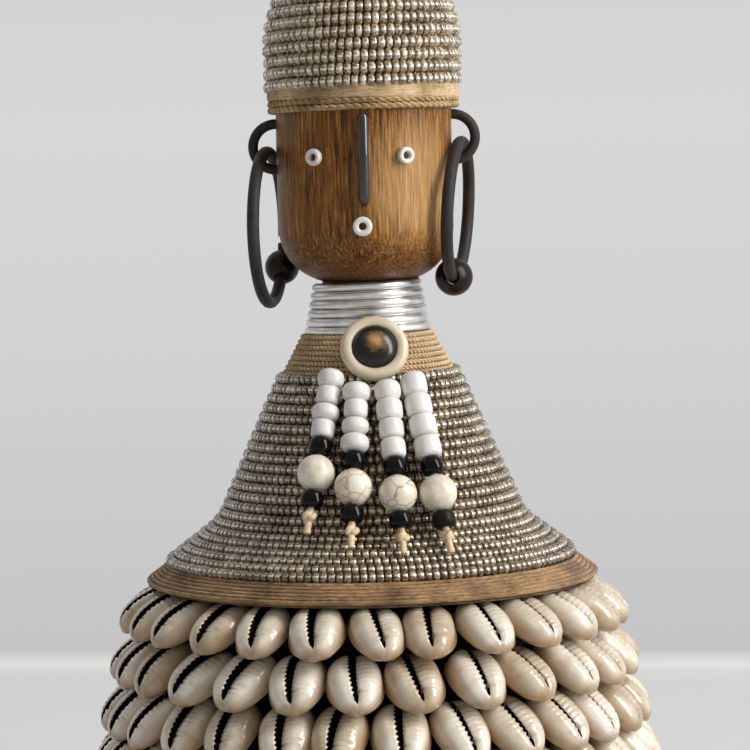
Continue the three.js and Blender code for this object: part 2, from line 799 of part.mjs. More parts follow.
function addStrand(number, turn, drop, whiteBeadHeight) {
  const whiteBead = { diameter: whiteBeadDiameter, height: whiteBeadHeight };
  const capeFace = capeCurves(clearance + seedBead + clearance + whiteBeadDiameter / 2).cone;
  const top = capeFace.v2;
  const down = capeFace.getTangent(0).negate();
  const start = new THREE.Vector3(0, -(top.x + down.x * drop), top.y + down.y * drop);
  const seat = groupAt(doll, turn, start, -(coneLean + strandTilt));
  const bore = strandCord / 2 + clearance;
  let depth = cordLead;
  const thread = (name, size, finish, makeBead) => {
    const piece = addPiece(seat, `strand_${number}_${name}`, makeBead(size, bore), finish);
    piece.position.z = -(depth + size.height / 2);
    depth += size.height + clearance;
  };
  for (let place = 1; place <= whiteBeadCount; place++) {
    thread(`white_bead_${place}`, whiteBead, whiteGlass, barrelBead);
  }
  thread("upper_black_bead", blackBead, blackGlass, barrelBead);
  thread("stone_bead", stoneBead, howlite, (size) => roundBead(size.diameter, 2 * bore));
  thread("lower_black_bead", blackBead, blackGlass, barrelBead);
  const knotTop = depth;
  const knot = new THREE.EllipseCurve(
    0,
    -(knotTop + knotDiameter / 2),
    knotDiameter / 2,
    knotDiameter / 2,
    Math.asin(strandCord / knotDiameter) - Math.PI / 2,
    Math.PI / 2 - Math.asin(strandCord / knotDiameter),
  );
  const tailEnd = -(knotTop + knotDiameter + tailLength);
  const cordProfile = [
    [0, tailEnd],
    [strandCord / 2, tailEnd],
    ...pointsOf(knot, arcSteps),
    [strandCord / 2, 0],
    [0, 0],
  ];
  addPiece(seat, `strand_${number}_cord`, turned(cordProfile, cordFacets), leather);
}
strandTurns.forEach((turn, index) =>
  addStrand(index + 1, turn, strandDrops[index], whiteBeadHeights[index]),
);

export default doll;
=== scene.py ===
import json
import math
import random

import bpy
from mathutils import Matrix, Vector


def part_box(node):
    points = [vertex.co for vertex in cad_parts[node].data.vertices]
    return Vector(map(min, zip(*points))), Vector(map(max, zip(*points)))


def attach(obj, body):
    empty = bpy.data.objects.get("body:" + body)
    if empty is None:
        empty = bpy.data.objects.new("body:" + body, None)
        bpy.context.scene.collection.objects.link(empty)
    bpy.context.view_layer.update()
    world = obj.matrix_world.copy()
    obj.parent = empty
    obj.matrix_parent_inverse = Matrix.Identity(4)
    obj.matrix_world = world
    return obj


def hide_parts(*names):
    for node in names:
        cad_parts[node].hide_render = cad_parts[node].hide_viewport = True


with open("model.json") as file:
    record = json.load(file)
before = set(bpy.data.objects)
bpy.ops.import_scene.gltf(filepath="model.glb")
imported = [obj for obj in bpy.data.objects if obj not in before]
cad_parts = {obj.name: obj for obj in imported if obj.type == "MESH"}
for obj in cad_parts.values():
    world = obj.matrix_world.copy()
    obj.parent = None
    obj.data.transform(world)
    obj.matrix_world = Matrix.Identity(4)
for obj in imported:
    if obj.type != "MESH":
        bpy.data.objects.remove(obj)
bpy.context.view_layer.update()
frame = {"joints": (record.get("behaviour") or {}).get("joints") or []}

mm = 0.001
hinges = {joint["name"]: joint for joint in frame["joints"]}


# camera

viewpoint = {
    "distance": 780,  # from the doll's axis, mm
    "eyeHeight": 181,
    "sideways": 1.48,
    "lookDown": 3.67,  # degrees
    "roll": -1.25,
    "lens": 149.8,
    "sensorWidth": 36,
    "nearest": 10,
}


def placeCamera():
    bpy.ops.object.camera_add(
        location=(viewpoint["sideways"] * mm, -viewpoint["distance"] * mm, viewpoint["eyeHeight"] * mm)
    )
    camera = bpy.context.object
    camera.name = "photoCamera"
    tip = Matrix.Rotation(math.radians(90 - viewpoint["lookDown"]), 3, "X")
    roll = Matrix.Rotation(math.radians(viewpoint["roll"]), 3, "Z")
    camera.rotation_euler = (tip @ roll).to_euler()
    camera.data.lens = viewpoint["lens"]
    camera.data.sensor_width = viewpoint["sensorWidth"]
    camera.data.clip_start = viewpoint["nearest"] * mm
    bpy.context.scene.camera = camera
    bpy.context.scene.view_settings.view_transform = "Standard"
    print("camera placed")


# small helpers

weldDistance = 0.0005


def clearSelection():
    if bpy.context.object and bpy.context.object.mode != "OBJECT":
        bpy.ops.object.mode_set(mode="OBJECT")
    bpy.ops.object.select_all(action="DESELECT")


def makeActive(piece):
    clearSelection()
    piece.select_set(True)
    bpy.context.view_layer.objects.active = piece


def applyModifiers(piece):
    makeActive(piece)
    for modifier in list(piece.modifiers):
        bpy.ops.object.modifier_apply(modifier=modifier.name)


def discard(*pieces):
    for piece in pieces:
        bpy.data.objects.remove(piece, do_unlink=True)


def tidyMesh(piece, fillSides=0):
    makeActive(piece)
    bpy.ops.object.mode_set(mode="EDIT")
    bpy.ops.mesh.select_all(action="SELECT")
    bpy.ops.mesh.remove_doubles(threshold=weldDistance * mm)
    if fillSides:
        bpy.ops.mesh.select_all(action="DESELECT")
        bpy.ops.mesh.select_mode(type="EDGE")
        bpy.ops.mesh.select_non_manifold()
        bpy.ops.mesh.fill_holes(sides=fillSides)
        bpy.ops.mesh.select_mode(type="VERT")
    bpy.ops.mesh.select_all(action="SELECT")
    bpy.ops.mesh.normals_make_consistent(inside=False)
    bpy.ops.object.mode_set(mode="OBJECT")


def smooth(piece, angle=40):
    makeActive(piece)
    bpy.ops.object.shade_smooth_by_angle(angle=math.radians(angle))


def turnPiece(name, profile, sides):
    # a profile of radius and height in mm, drawn by extruding one point and then spun round the z axis
    clearSelection()
    bpy.ops.mesh.primitive_plane_add(size=mm)
    piece = bpy.context.object
    piece.name = name
    bpy.ops.object.mode_set(mode="EDIT")
    bpy.ops.mesh.select_mode(type="VERT")
    bpy.ops.mesh.select_all(action="SELECT")
    bpy.ops.mesh.merge(type="CENTER")
    start = profile[0]
    bpy.ops.transform.translate(value=(start[0] * mm, 0, start[1] * mm))
    for here, there in zip(profile, profile[1:]):
        step = ((there[0] - here[0]) * mm, 0, (there[1] - here[1]) * mm)
        bpy.ops.mesh.extrude_region_move(TRANSFORM_OT_translate={"value": step})
    bpy.ops.mesh.select_all(action="SELECT")
    bpy.ops.mesh.spin(steps=sides, angle=2 * math.pi, center=(0, 0, 0), axis=(0, 0, 1))
    bpy.ops.object.mode_set(mode="OBJECT")
    tidyMesh(piece)
    return piece


def arc(centre, radius, first, last, count):
    # points of an arc in the profile plane, angles in degrees from the horizontal; radius may be (across, up)
    across, up = radius if isinstance(radius, tuple) else (radius, radius)
    points = []
    for step in range(count + 1):
        angle = math.radians(first + (last - first) * step / count)
        points.append((centre[0] + across * math.cos(angle), centre[1] + up * math.sin(angle)))
    return points


def routeCurve(name, points, closed=False, diameter=0, roundness=4):
    # a poly curve through points in mm, a round wire where it has a diameter
    data = bpy.data.curves.new(name, "CURVE")
    data.dimensions = "3D"
    data.bevel_depth = diameter / 2 * mm
    data.bevel_resolution = roundness
    data.use_fill_caps = True
    spline = data.splines.new("POLY")
    spline.points.add(len(points) - 1)
    for spot, point in zip(spline.points, points):
        spot.co = (*(Vector(point) * mm), 1)
    spline.use_cyclic_u = closed
    route = bpy.data.objects.new(name, data)
    bpy.context.scene.collection.objects.link(route)
    return route


def tubePiece(name, points, diameter, closed=False, roundness=4, thickness=None):
    # a round wire made a mesh; thickness gives each point's share of the diameter
    route = routeCurve(name, points, closed, diameter, roundness)
    for spot, share in zip(route.data.splines[0].points, thickness or []):
        spot.radius = share
    makeActive(route)
    bpy.ops.object.convert(target="MESH")
    piece = bpy.context.object
    tidyMesh(piece)
    return piece


def ruffle(piece, grain, strength, level=0.5):
    # moves the surface in and out in patches of the grain's size; level 1 only cuts inward
    uneven = bpy.data.textures.new(piece.name, "CLOUDS")
    uneven.noise_scale = grain * mm
    rough = piece.modifiers.new("ruffle", "DISPLACE")
    rough.texture = uneven
    rough.texture_coords = "LOCAL"
    rough.strength = strength * mm
    rough.mid_level = level
    applyModifiers(piece)


def copyPiece(source, name, place):
    piece = source.copy()
    piece.data = source.data.copy()
    piece.name = name
    piece.data.transform(place)
    bpy.context.scene.collection.objects.link(piece)
    return piece


def joinPieces(pieces, name):
    makeActive(pieces[0])
    for piece in pieces:
        piece.select_set(True)
    bpy.ops.object.join()
    joined = bpy.context.object
    joined.name = name
    return joined


def axesTurn(xAxis, yAxis, zAxis):
    return Matrix((xAxis, yAxis, zAxis)).transposed().to_4x4()


def frameAt(position, up, sideways, twist=0.0):
    # a place whose z axis is up and whose x axis is near sideways, position in mm
    zAxis = Vector(up).normalized()
    yAxis = zAxis.cross(Vector(sideways)).normalized()
    turn = axesTurn(yAxis.cross(zAxis), yAxis, zAxis)
    return Matrix.Translation(Vector(position) * mm) @ turn @ Matrix.Rotation(twist, 4, "Z")


def roundDoll(azimuth):
    # outward and sideways directions at an azimuth in degrees from the front
    angle = math.radians(azimuth)
    outward = Vector((math.sin(angle), -math.cos(angle), 0))
    sideways = Vector((math.cos(angle), math.sin(angle), 0))
    return outward, sideways


def settle(piece, body, slot, nodes, *materials):
    for place, material in enumerate(materials):
        if place < len(piece.data.materials):
            piece.data.materials[place] = material
        else:
            piece.data.materials.append(material)
    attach(piece, body)
    if nodes:
        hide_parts(*nodes)


def linear(text):
    channels = [int(text[place:place + 2], 16) / 255 for place in (1, 3, 5)]
    return [c / 12.92 if c <= 0.04045 else ((c + 0.055) / 1.055) ** 2.4 for c in channels] + [1.0]


def newMaterial(name):
    material = bpy.data.materials.new(name)
    material.use_nodes = True
    return material, material.node_tree, material.node_tree.nodes["Principled BSDF"]


def makeMaterial(name, recipe, *values):
    # a material whose shader gets what the recipe gives
    material, tree, shader = newMaterial(name)
    addNode(tree, shader, recipe(tree, *values))
    return material


def addNode(tree, kind, settings=None):
    # settings hold sockets by name or number, with values or with other nodes' sockets, "ramp" stops of a
    # colour ramp, and node properties
    node = tree.nodes.new(kind) if isinstance(kind, str) else kind
    for key, value in (settings or {}).items():
        if key == "ramp":
            stops = node.color_ramp.elements
            while len(stops) < len(value):
                stops.new(1)
            for stop, (place, colour) in zip(stops, value):
                stop.position = place
                stop.color = linear(colour)
        elif isinstance(value, bpy.types.NodeSocket):
            tree.links.new(value, node.inputs[key])
        elif isinstance(key, int) or key in node.inputs:
            isColour = isinstance(value, str) and value.startswith("#")
            node.inputs[key].default_value = linear(value) if isColour else value
        else:
            setattr(node, key, value)
    return node


def objectPlace(tree):
    return addNode(tree, "ShaderNodeTexCoord").outputs["Object"]


def attributeParts(tree, name):
    place = addNode(tree, "ShaderNodeAttribute", {"attribute_name": name}).outputs["Vector"]
    return splitVector(tree, place)


def splitVector(tree, vector):
    return addNode(tree, "ShaderNodeSeparateXYZ", {0: vector}).outputs


def noise(tree, vector, scale, detail, roughness=0.5):
    settings = {"Scale": scale, "Detail": detail, "Roughness": roughness, "Vector": vector}
    return addNode(tree, "ShaderNodeTexNoise", settings).outputs["Fac"]


def maths(tree, operation, *values):
    return addNode(tree, "ShaderNodeMath", {"operation": operation, **dict(enumerate(values))}).outputs[0]


def vectorMaths(tree, operation, *values):
    return addNode(tree, "ShaderNodeVectorMath", {"operation": operation, **dict(enumerate(values))}).outputs


def ramp(tree, value, *stops):
    return addNode(tree, "ShaderNodeValToRGB", {"ramp": stops, 0: value}).outputs[0]


def remap(tree, value, low, high, first, last, interpolation="LINEAR"):
    # first where the value is low, last where it is high
    settings = {"interpolation_type": interpolation, "Value": value, "From Min": low, "From Max": high}
    return addNode(tree, "ShaderNodeMapRange", {**settings, "To Min": first, "To Max": last}).outputs[0]


def ease(tree, value, low, high, first, last):
    return remap(tree, value, low, high, first, last, "SMOOTHSTEP")


def blend(tree, share, first, second, kind="MIX"):
    # sockets 0, 6 and 7 of a Mix node take the share and the two colours, and socket 2 gives the result
    settings = {"data_type": "RGBA", "blend_type": kind, 0: share, 6: first, 7: second}
    return addNode(tree, "ShaderNodeMix", settings).outputs[2]


def roughen(tree, height, strength, depth):
    settings = {"Strength": strength, "Distance": depth * mm, "Height": height}
    return addNode(tree, "ShaderNodeBump", settings).outputs[0]


# materials


def windingCoordinates(tree, meanRadius, stretch):
    # Object coordinates unrolled round the doll's axis, drawn out along the winding, seam at the back
    place = objectPlace(tree)
    parts = splitVector(tree, place)
    angle = maths(tree, "ARCTAN2", parts["X"], maths(tree, "MULTIPLY", parts["Y"], -1.0))
    along = maths(tree, "MULTIPLY", angle, meanRadius * mm / stretch)
    reach = vectorMaths(tree, "LENGTH", place)["Value"]
    return addNode(tree, "ShaderNodeCombineXYZ", {0: along, 1: reach, 2: parts["Z"]}).outputs[0]


def juteFibre(tree, pale, middle, dark, meanRadius, stretch=14, stainShare=0.75):
    # spun jute: dull tan fibres of about 0.25 mm that run along the cord, with darker and paler streaks
    winding = windingCoordinates(tree, meanRadius, stretch)
    fibres = noise(tree, winding, scale=3200, detail=5, roughness=0.65)
    patches = noise(tree, objectPlace(tree), scale=110, detail=3)
    colour = ramp(tree, fibres, (0.28, dark), (0.48, middle), (0.72, pale))
    stain = ramp(tree, patches, (0.35, "#8d7c66"), (0.6, "#ffffff"))
    return {
        "Base Color": blend(tree, stainShare, colour, stain, "MULTIPLY"),
        "Normal": roughen(tree, fibres, strength=0.7, depth=0.12),
        "Roughness": 0.86,
        "Specular IOR Level": 0.25,
        "Sheen Weight": 0.25,
        "Sheen Roughness": 0.5,
    }


def backingCloth(tree, pale, dark):
    # plain woven cotton backing, stained brown: threads 0.6 mm apart show as a faint check
    place = objectPlace(tree)
    weave = noise(tree, place, scale=1600, detail=3)
    patchy = maths(tree, "MULTIPLY", weave, noise(tree, place, scale=90, detail=4))
    return {
        "Base Color": ramp(tree, patchy, (0.12, dark), (0.38, pale)),
        "Normal": roughen(tree, weave, strength=0.6, depth=0.2),
        "Roughness": 0.9,
        "Specular IOR Level": 0.2,
    }


def silverLinedGlass(tree):
    # drawn clear glass seed bead with a silvered bore: a bright bar along the middle of its outer side, and
    # above and below it clear glass that shows the speckled tan backing, with painted shade at the bead's
    # ends
    parts = attributeParts(tree, "beadPlace")
    tone = parts["Z"]
    endward = maths(tree, "ABSOLUTE", parts["X"])
    aside = maths(tree, "ABSOLUTE", parts["Y"])
    lining = ease(tree, aside, 0.04, 0.24, 1, 0)
    shown = maths(tree, "MULTIPLY", lining, ease(tree, endward, 0.6, 0.85, 1, 0))
    silver = ramp(tree, tone, (0, "#baa98c"), (0.35, "#eee4d2"), (1, "#fffdf8"))
    specks = noise(tree, objectPlace(tree), scale=1500, detail=3, roughness=0.6)
    backed = maths(tree, "MULTIPLY_ADD", tone, 0.22, specks)
    browns = [(0.42, "#2a1e12"), (0.55, "#66523a"), (0.66, "#927c5e"), (0.78, "#c2af90"), (0.88, "#e6d8bf")]
    # painted shade: the clear glass darkens towards each bead's ends, where it meets the next
    paintedEndShade = remap(tree, endward, 0.7, 1, 0, 0.45)
    clear = blend(tree, paintedEndShade, ramp(tree, backed, *browns), "#3f301f")
    return {
        "Base Color": blend(tree, shown, clear, silver),
        "Metallic": remap(tree, shown, 0, 1, 0.1, 0.55),
        "Roughness": 0.24,
        "Coat Weight": 0.8,
        "Coat Roughness": 0.06,
    }


def drawnAluminium(tree):
    # bare drawn aluminium wire: bright, with fine lengthwise drawing lines and dull patches of handling
    lines = noise(tree, windingCoordinates(tree, meanRadius=15, stretch=40), scale=5200, detail=3)
    handling = noise(tree, objectPlace(tree), scale=220, detail=4)
    return {
        "Base Color": ramp(tree, handling, (0.3, "#d2d0cd"), (0.65, "#f1efed")),
        "Roughness": remap(tree, handling, 0.3, 0.7, 0.3, 0.46),
        "Normal": roughen(tree, lines, strength=0.25, depth=0.03),
        "Metallic": 1,
    }


def stainedWood(tree):
    # carved hardwood, brushed and stained brown: fine upright grain 0.4 mm wide with dark pores, a painted
    # highlight as a paler golden place on one cheek, and painted shade that darkens the chin, with speckles
    place = objectPlace(tree)
    drawnOut = addNode(tree, "ShaderNodeMapping", {"Scale": (1, 1, 0.05), "Vector": place}).outputs[0]
    grain = noise(tree, drawnOut, scale=2300, detail=6, roughness=0.6)
    bands = noise(tree, drawnOut, scale=260, detail=3)
    flecks = noise(tree, place, scale=2600, detail=4)
    figure = maths(tree, "MULTIPLY_ADD", bands, 0.18, grain)
    pitted = maths(tree, "MULTIPLY_ADD", flecks, 0.3, figure)
    browns = [(0.58, "#371f0a"), (0.7, "#73491e"), (0.82, "#94622a"), (0.94, "#bf9150")]
    # painted highlight: a paler golden place round the cheek, broken by the grain
    fromCheek = vectorMaths(tree, "DISTANCE", place, tuple(Vector(head["cheek"]) * mm))["Value"]
    inner, outer = head["cheekHighlightFade"]
    nearCheek = ease(tree, fromCheek, inner * mm, outer * mm, 1, 0)
    cheekHighlight = maths(tree, "MULTIPLY", nearCheek, grain)
    golden = blend(tree, cheekHighlight, ramp(tree, pitted, *browns), "#cfa56c")
    # painted shade: the wood darkens towards the chin, broken by speckles
    low, high = head["chinShade"]
    chin = remap(tree, splitVector(tree, place)["Z"], low * mm, high * mm, 0, 0.8)
    chinShadeMask = maths(tree, "MULTIPLY_ADD", flecks, 0.6, chin)
    chinShadeTone = ramp(tree, chinShadeMask, (0.25, "#7d634a"), (0.85, "#ffffff"))
    return {
        "Base Color": blend(tree, 0.9, golden, chinShadeTone, "MULTIPLY"),
        "Normal": roughen(tree, grain, strength=0.7, depth=0.16),
        "Roughness": 0.42,
        "Specular IOR Level": 0.22,
    }


def mottled(tree, low, high, size, roughness, depth, gloss):
    # a plain finish whose tone drifts over the given size in mm, with a fine unevenness of surface
    place = objectPlace(tree)
    drift = noise(tree, place, scale=1000 / size, detail=4)
    fine = noise(tree, place, scale=2600, detail=3)
    return {
        "Base Color": ramp(tree, drift, (0.32, low), (0.68, high)),
        "Roughness": remap(tree, drift, 0.3, 0.7, roughness * 0.8, roughness * 1.25),
        "Normal": roughen(tree, fine, strength=0.5, depth=depth),
        **gloss,
    }


def wornLacquer(tree, centre):
    # black lacquer on a turned wooden dome, rubbed through to brown at its crown
    place = objectPlace(tree)
    away = vectorMaths(tree, "DISTANCE", place, tuple(centre))["Value"]
    rub = noise(tree, place, scale=900, detail=6, roughness=0.7)
    ragged = maths(tree, "MULTIPLY_ADD", rub, 4.5 * mm, away)
    spread = remap(tree, ragged, 2.6 * mm, 6.6 * mm, 0, 1)
    return {
        "Base Color": ramp(tree, spread, (0.05, "#b98a58"), (0.4, "#6f5033"), (0.72, "#0e0c0b")),
        "Roughness": 0.3,
        "Specular IOR Level": 0.35,
        "Coat Weight": 0.3,
        "Coat Roughness": 0.12,
    }


def howliteStone(tree, veinShare):
    # tumbled and polished howlite: cream, with thin tan cracks about 4 mm apart that wander
    place = objectPlace(tree)
    wander = noise(tree, place, scale=320, detail=3)
    shifted = vectorMaths(tree, "MULTIPLY_ADD", wander.node.outputs["Color"], (1.8 * mm,) * 3, place)[0]
    settings = {"feature": "DISTANCE_TO_EDGE", "Scale": 250, "Vector": shifted}
    cracks = addNode(tree, "ShaderNodeTexVoronoi", settings).outputs["Distance"]
    vein = remap(tree, cracks, 0, 0.055, veinShare, 0)
    clouds = ramp(tree, wander, (0.3, "#dccdb2"), (0.65, "#efe7d9"))
    return {
        "Base Color": blend(tree, vein, clouds, "#a8794a"),
        "Normal": roughen(tree, vein, strength=0.3, depth=-0.05),
        "Roughness": 0.32,
        "Coat Weight": 0.25,
        "Coat Roughness": 0.2,
    }


def cowrieShell(tree):
    # polished cowrie: cream porcelain gloss, tan towards its sides, its ends and the foot of the mouth
    parts = attributeParts(tree, "shellPlace")
    aside = maths(tree, "ABSOLUTE", parts["X"])
    endward = maths(tree, "ABSOLUTE", parts["Y"])
    clouds = noise(tree, objectPlace(tree), scale=230, detail=4)
    tint = maths(tree, "MULTIPLY_ADD", parts["Z"], 0.6, clouds)
    cream = ramp(tree, tint, (0.4, "#b7a182"), (0.6, "#ccbba2"), (0.85, "#ded1bc"), (1, "#ebe1d0"))
    sided = blend(tree, ease(tree, aside, 0.62, 1.05, 0, 0.8), cream, "#a27d52")
    nearMouth = ease(tree, aside, 0, 0.3, 0.45, 0)
    foot = ease(tree, endward, 0.35, 0.95, 0.3, 1)
    mouthed = blend(tree, maths(tree, "MULTIPLY", nearMouth, foot), sided, "#8b6238")
    return {
        "Base Color": blend(tree, ease(tree, endward, 0.8, 1, 0, 0.75), mouthed, "#8f6b40"),
        "Roughness": 0.28,
        "Coat Weight": 0.7,
        "Coat Roughness": 0.06,
    }


def makeFinishes():
    shine, coat = "Specular IOR Level", "Coat Weight"
    recipes = {
        "cloth": ("stainedCottonBacking", backingCloth, "#8d7657", "#3d2f20"),
        "skirtCloth": ("darkCottonSkirt", backingCloth, "#1d1711", "#080605"),
        "juteStrip": ("paleJuteStrip", juteFibre, "#e6d2ae", "#cbae83", "#86643c", 23, 9),
        "jutePale": ("paleRawJute", juteFibre, "#e0c59a", "#bd9a69", "#775733", 23),
        "juteTwine": ("spunJuteTwine", juteFibre, "#efdbb8", "#d8ba8e", "#9c7a4e", 18, 14, 0.3),
        "juteBrim": ("brownJuteYarn", juteFibre, "#cba679", "#9d7a52", "#54402a", 52, 5),
        "seedGlass": ("silverLinedSeedGlass", silverLinedGlass),
        "aluminium": ("drawnAluminiumWire", drawnAluminium),
        "wood": ("stainedCarvedHardwood", stainedWood),
        "cowrie": ("polishedCowrieShell", cowrieShell),
        # leather cord dyed charcoal: matt, faintly grained
        "charcoal": ("charcoalLeatherCord", mottled, "#292624", "#393532", 3, 0.55, 0.06, {shine: 0.25}),
        # the same cord rubbed to a shine
        "polishedCord": ("polishedLeatherCord", mottled, "#1d1b1a", "#272523", 9, 0.3, 0.05, {coat: 0.9}),
        # turned hardwood beads, black stained and waxed: soft gloss with brown showing through
        "darkWood": ("blackStainedTurnedWood", mottled, "#0d0a08", "#22170f", 4, 0.3, 0.04, {shine: 0.22}),
        # pressed glass, opaque white, tumbled: satin with faint grey clouding
        "whiteGlass": ("opaqueWhiteGlass", mottled, "#d8d4cd", "#e9e6e1", 4, 0.38, 0.03, {coat: 0.2}),
        # polished bone: ivory with a warm drift
        "bone": ("polishedBone", mottled, "#c6b698", "#dccfb8", 6, 0.35, 0.03, {coat: 0.25}),
        # pressed black glass, fire polished: sharp small highlights
        "blackGlass": ("firePolishedBlackGlass", mottled, "#030303", "#0a0909", 5, 0.12, 0.02, {shine: 0.2}),
        # black glass etched dull
        "blackMatt": ("etchedBlackGlass", mottled, "#090807", "#171514", 3, 0.4, 0.06, {shine: 0.2}),
        # thin strips of vegetable tanned leather: pale tan, dull
        "tanLeather": ("vegetableTannedLeather", mottled, "#c9a377", "#ead6b6", 3, 0.6, 0.08, {}),
        # painted shade inside a shell's mouth: near black
        "mouthShade": ("cowrieMouthPaintedShade", mottled, "#050302", "#120c07", 3, 0.8, 0.03, {shine: 0.1}),
    }
    finishes = {key: makeMaterial(*recipe) for key, recipe in recipes.items()}
    print("finishes made:", len(finishes))
    return finishes


# pendant strands, whose cords come first

strands = {
    "cordDiameter": 1.7,
    "cordSteps": 19,
    "tilt": 27.2,  # degrees out from upright
    "lead": 0.4,
    "gap": 0.3,
    "whiteHeights": [4.1, 4.1, 4.7, 5.2],
    "whiteDiameter": 6.2,
    "blackHeight": 4.2,
    "blackDiameter": 5.7,
    "stoneHeight": 8.9,
    "stoneDiameter": 9.2,
    "closeUp": 0.1,  # black beads and stones reach so far into the gaps
    "hole": 0.95,
    "knot": 3.7,
    "knotLoop": 1.15,
    "knotCord": 1.5,
    "tail": 2.4,
    # how round a bead's outline is: 1 is a ball, less is nearer to a cylinder
    "ballness": {"round": 0.74, "tube": 0.45, "black": 0.62, "stone": 1.0},
    # width and height of each white bead against the plain one, and whether it is cut from tube
    "whiteShapes": [
        [(1.05, 1.12, False), (0.92, 1.04, True), (1.1, 0.98, False), (0.93, 1.08, True)],
        [(1.12, 1.12, False), (0.94, 1.06, True), (1.08, 0.96, False), (1.14, 1.06, False)],
        [(1.06, 1.1, False), (1.04, 1.05, True), (0.98, 1.0, True), (0.98, 1.0, True)],
        [(1.03, 1.04, True), (1.06, 1.02, True), (1.08, 1.02, True), (1.05, 1.0, True)],
    ],
    "veined": [0.1, 0.75, 0.95, 0.1],
    "lowerBlack": ["blackGlass", "blackGlass", "blackGlass", "blackMatt"],
    "turns": 6.28,  # beads lie turned on the cord by up to this angle
    "seed": 7,
}


def barrelProfile(radius, half, hole, ballness):
    # outline of a pierced bead, from the rim of its hole round to it again
    rim, reach, steps = half * 0.8, 78, 12
    points = [(hole, -rim)]
    for step in range(steps + 1):
        angle = math.radians(-reach + 2 * reach * step / steps)
        across = radius * math.cos(angle) ** ballness
        along = half * abs(math.sin(angle)) ** ballness
        if across > hole:
            points.append((across, math.copysign(along, math.sin(angle))))
    points.append((hole, rim))
    return points + [points[0]]


def knotPoints(size):
    # an overhand knot drawn up tight
    steps, flatness = 36, 0.45
    points = []
    for step in range(steps):
        turn = 2 * math.pi * step / steps
        across = size * (math.sin(turn) + 2 * math.sin(2 * turn)) / 3
        aside = size * (math.cos(turn) - 2 * math.cos(2 * turn)) / 3
        points.append((across, aside, -size * math.sin(3 * turn) * flatness))
    return points


def makeStrand(number, masters, luck, finishes):
    index = number - 1
    body = "strand_%d" % number
    hinge = hinges[body + "_lift"]
    top = Vector(hinge["pos_m"]) / mm
    tilt = math.radians(strands["tilt"])
    outward = Vector((-hinge["axis"][1], hinge["axis"][0], 0))
    down = outward * math.sin(tilt) - Vector((0, 0, math.cos(tilt)))
    white, gap, shapes = strands["whiteHeights"][index], strands["gap"], strands["whiteShapes"][index]
    black, stone, knot = strands["blackHeight"], strands["stoneHeight"], strands["knot"]
    upperBlack = strands["lead"] + len(shapes) * (white + gap) + black / 2
    stoneDepth = upperBlack + black / 2 + gap + stone / 2
    lowerBlack = stoneDepth + stone / 2 + gap + black / 2
    knotDepth = lowerBlack + black / 2 + gap + knot / 2
    length = knotDepth + knot / 2 + strands["tail"]
    steps = strands["cordSteps"]
    points = [top + down * length * step / steps for step in range(steps + 1)]
    cord = routeCurve("strand%dCord" % number, points, diameter=strands["cordDiameter"], roundness=3)
    settle(cord, body, "tan_leather", ["strand_%d_cord" % number], finishes["tanLeather"])

    def thread(kind, name, depth, slot, node, finish, width=1.0, tall=1.0):
        place = frameAt(top + down * depth, -down, (1, 0, 0), luck.uniform(0, strands["turns"]))
        place = place @ Matrix.Diagonal((width, width, tall, 1))
        piece = copyPiece(masters[kind], "strand%d%s" % (number, name), place)
        settle(piece, body, slot, ["strand_%d_%s" % (number, node)] if node else [], finish)
        return piece

    beads = []
    for bead, (width, tall, isTube) in enumerate(shapes):
        kind = "tube" if isTube else "round"
        names = "WhiteBead%d" % (bead + 1), "white_bead_%d" % (bead + 1)
        depth = strands["lead"] + bead * (white + gap) + white / 2
        tall *= white / strands["whiteHeights"][0]
        beads.append((kind, names[0], depth, "white_glass", names[1], finishes["whiteGlass"], width, tall))
    veined = makeMaterial("howliteStrand%d" % number, howliteStone, strands["veined"][index])
    lowerFinish = finishes[strands["lowerBlack"][index]]
    beads += [
        ("black", "UpperBlackBead", upperBlack, "black_glass", "upper_black_bead", finishes["blackGlass"]),
        ("stone", "StoneBead", stoneDepth, "howlite", "stone_bead", veined),
        ("black", "LowerBlackBead", lowerBlack, "black_glass", "lower_black_bead", lowerFinish),
        ("knot", "Knot", knotDepth, "tan_leather", None, finishes["tanLeather"]),
    ]
    [thread(*bead) for bead in beads]


def makeStrands(finishes):
    whiteHalf = (strands["whiteHeights"][0] + strands["gap"]) / 2
    kinds = [
        ("round", strands["whiteDiameter"], whiteHalf, 28),
        ("tube", strands["whiteDiameter"], whiteHalf, 28),
        ("black", strands["blackDiameter"], strands["blackHeight"] / 2 + strands["closeUp"], 28),
        ("stone", strands["stoneDiameter"], strands["stoneHeight"] / 2 + strands["closeUp"], 40),
    ]
    masters = {}
    for kind, diameter, half, sides in kinds:
        profile = barrelProfile(diameter / 2, half, strands["hole"], strands["ballness"][kind])
        masters[kind] = turnPiece(kind, profile, sides)
    loops = knotPoints(strands["knotLoop"])
    masters["knot"] = tubePiece("knot", loops, strands["knotCord"], closed=True, roundness=3)
    for master in masters.values():
        smooth(master, 60)
    luck = random.Random(strands["seed"])
    count = len(strands["whiteHeights"])
    for number in range(1, count + 1):
        makeStrand(number, masters, luck, finishes)
    discard(*masters.values())
    print("strands threaded:", count)


# skirt, cape and hat forms under the beads and shells

skirt = {
    "baseRadius": 70.2,
    "lean": 17.06,
    "height": 87.9,
    "edge": 0.8,
    "sides": 72,
}

cape = {
    "brimRadius": 55.7,
    "brimHeight": 80.32,
    "brimThickness": 0.5,
    "flareLean": 53,
    "flareLength": 19.78,
    "bendRadius": 14.6,
    "coneLean": 24,
    "coneLength": 36,
    "shoulderLean": 27.6,
    "shoulderLength": 12,
    "floor": 88.2,
    "sides": 72,
}

hat = {
    "floor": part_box("hat_cap")[0].z / mm,
    "radius": 21.9,
    "wall": 9.5,
    "dome": 23,
    "sides": 56,
}


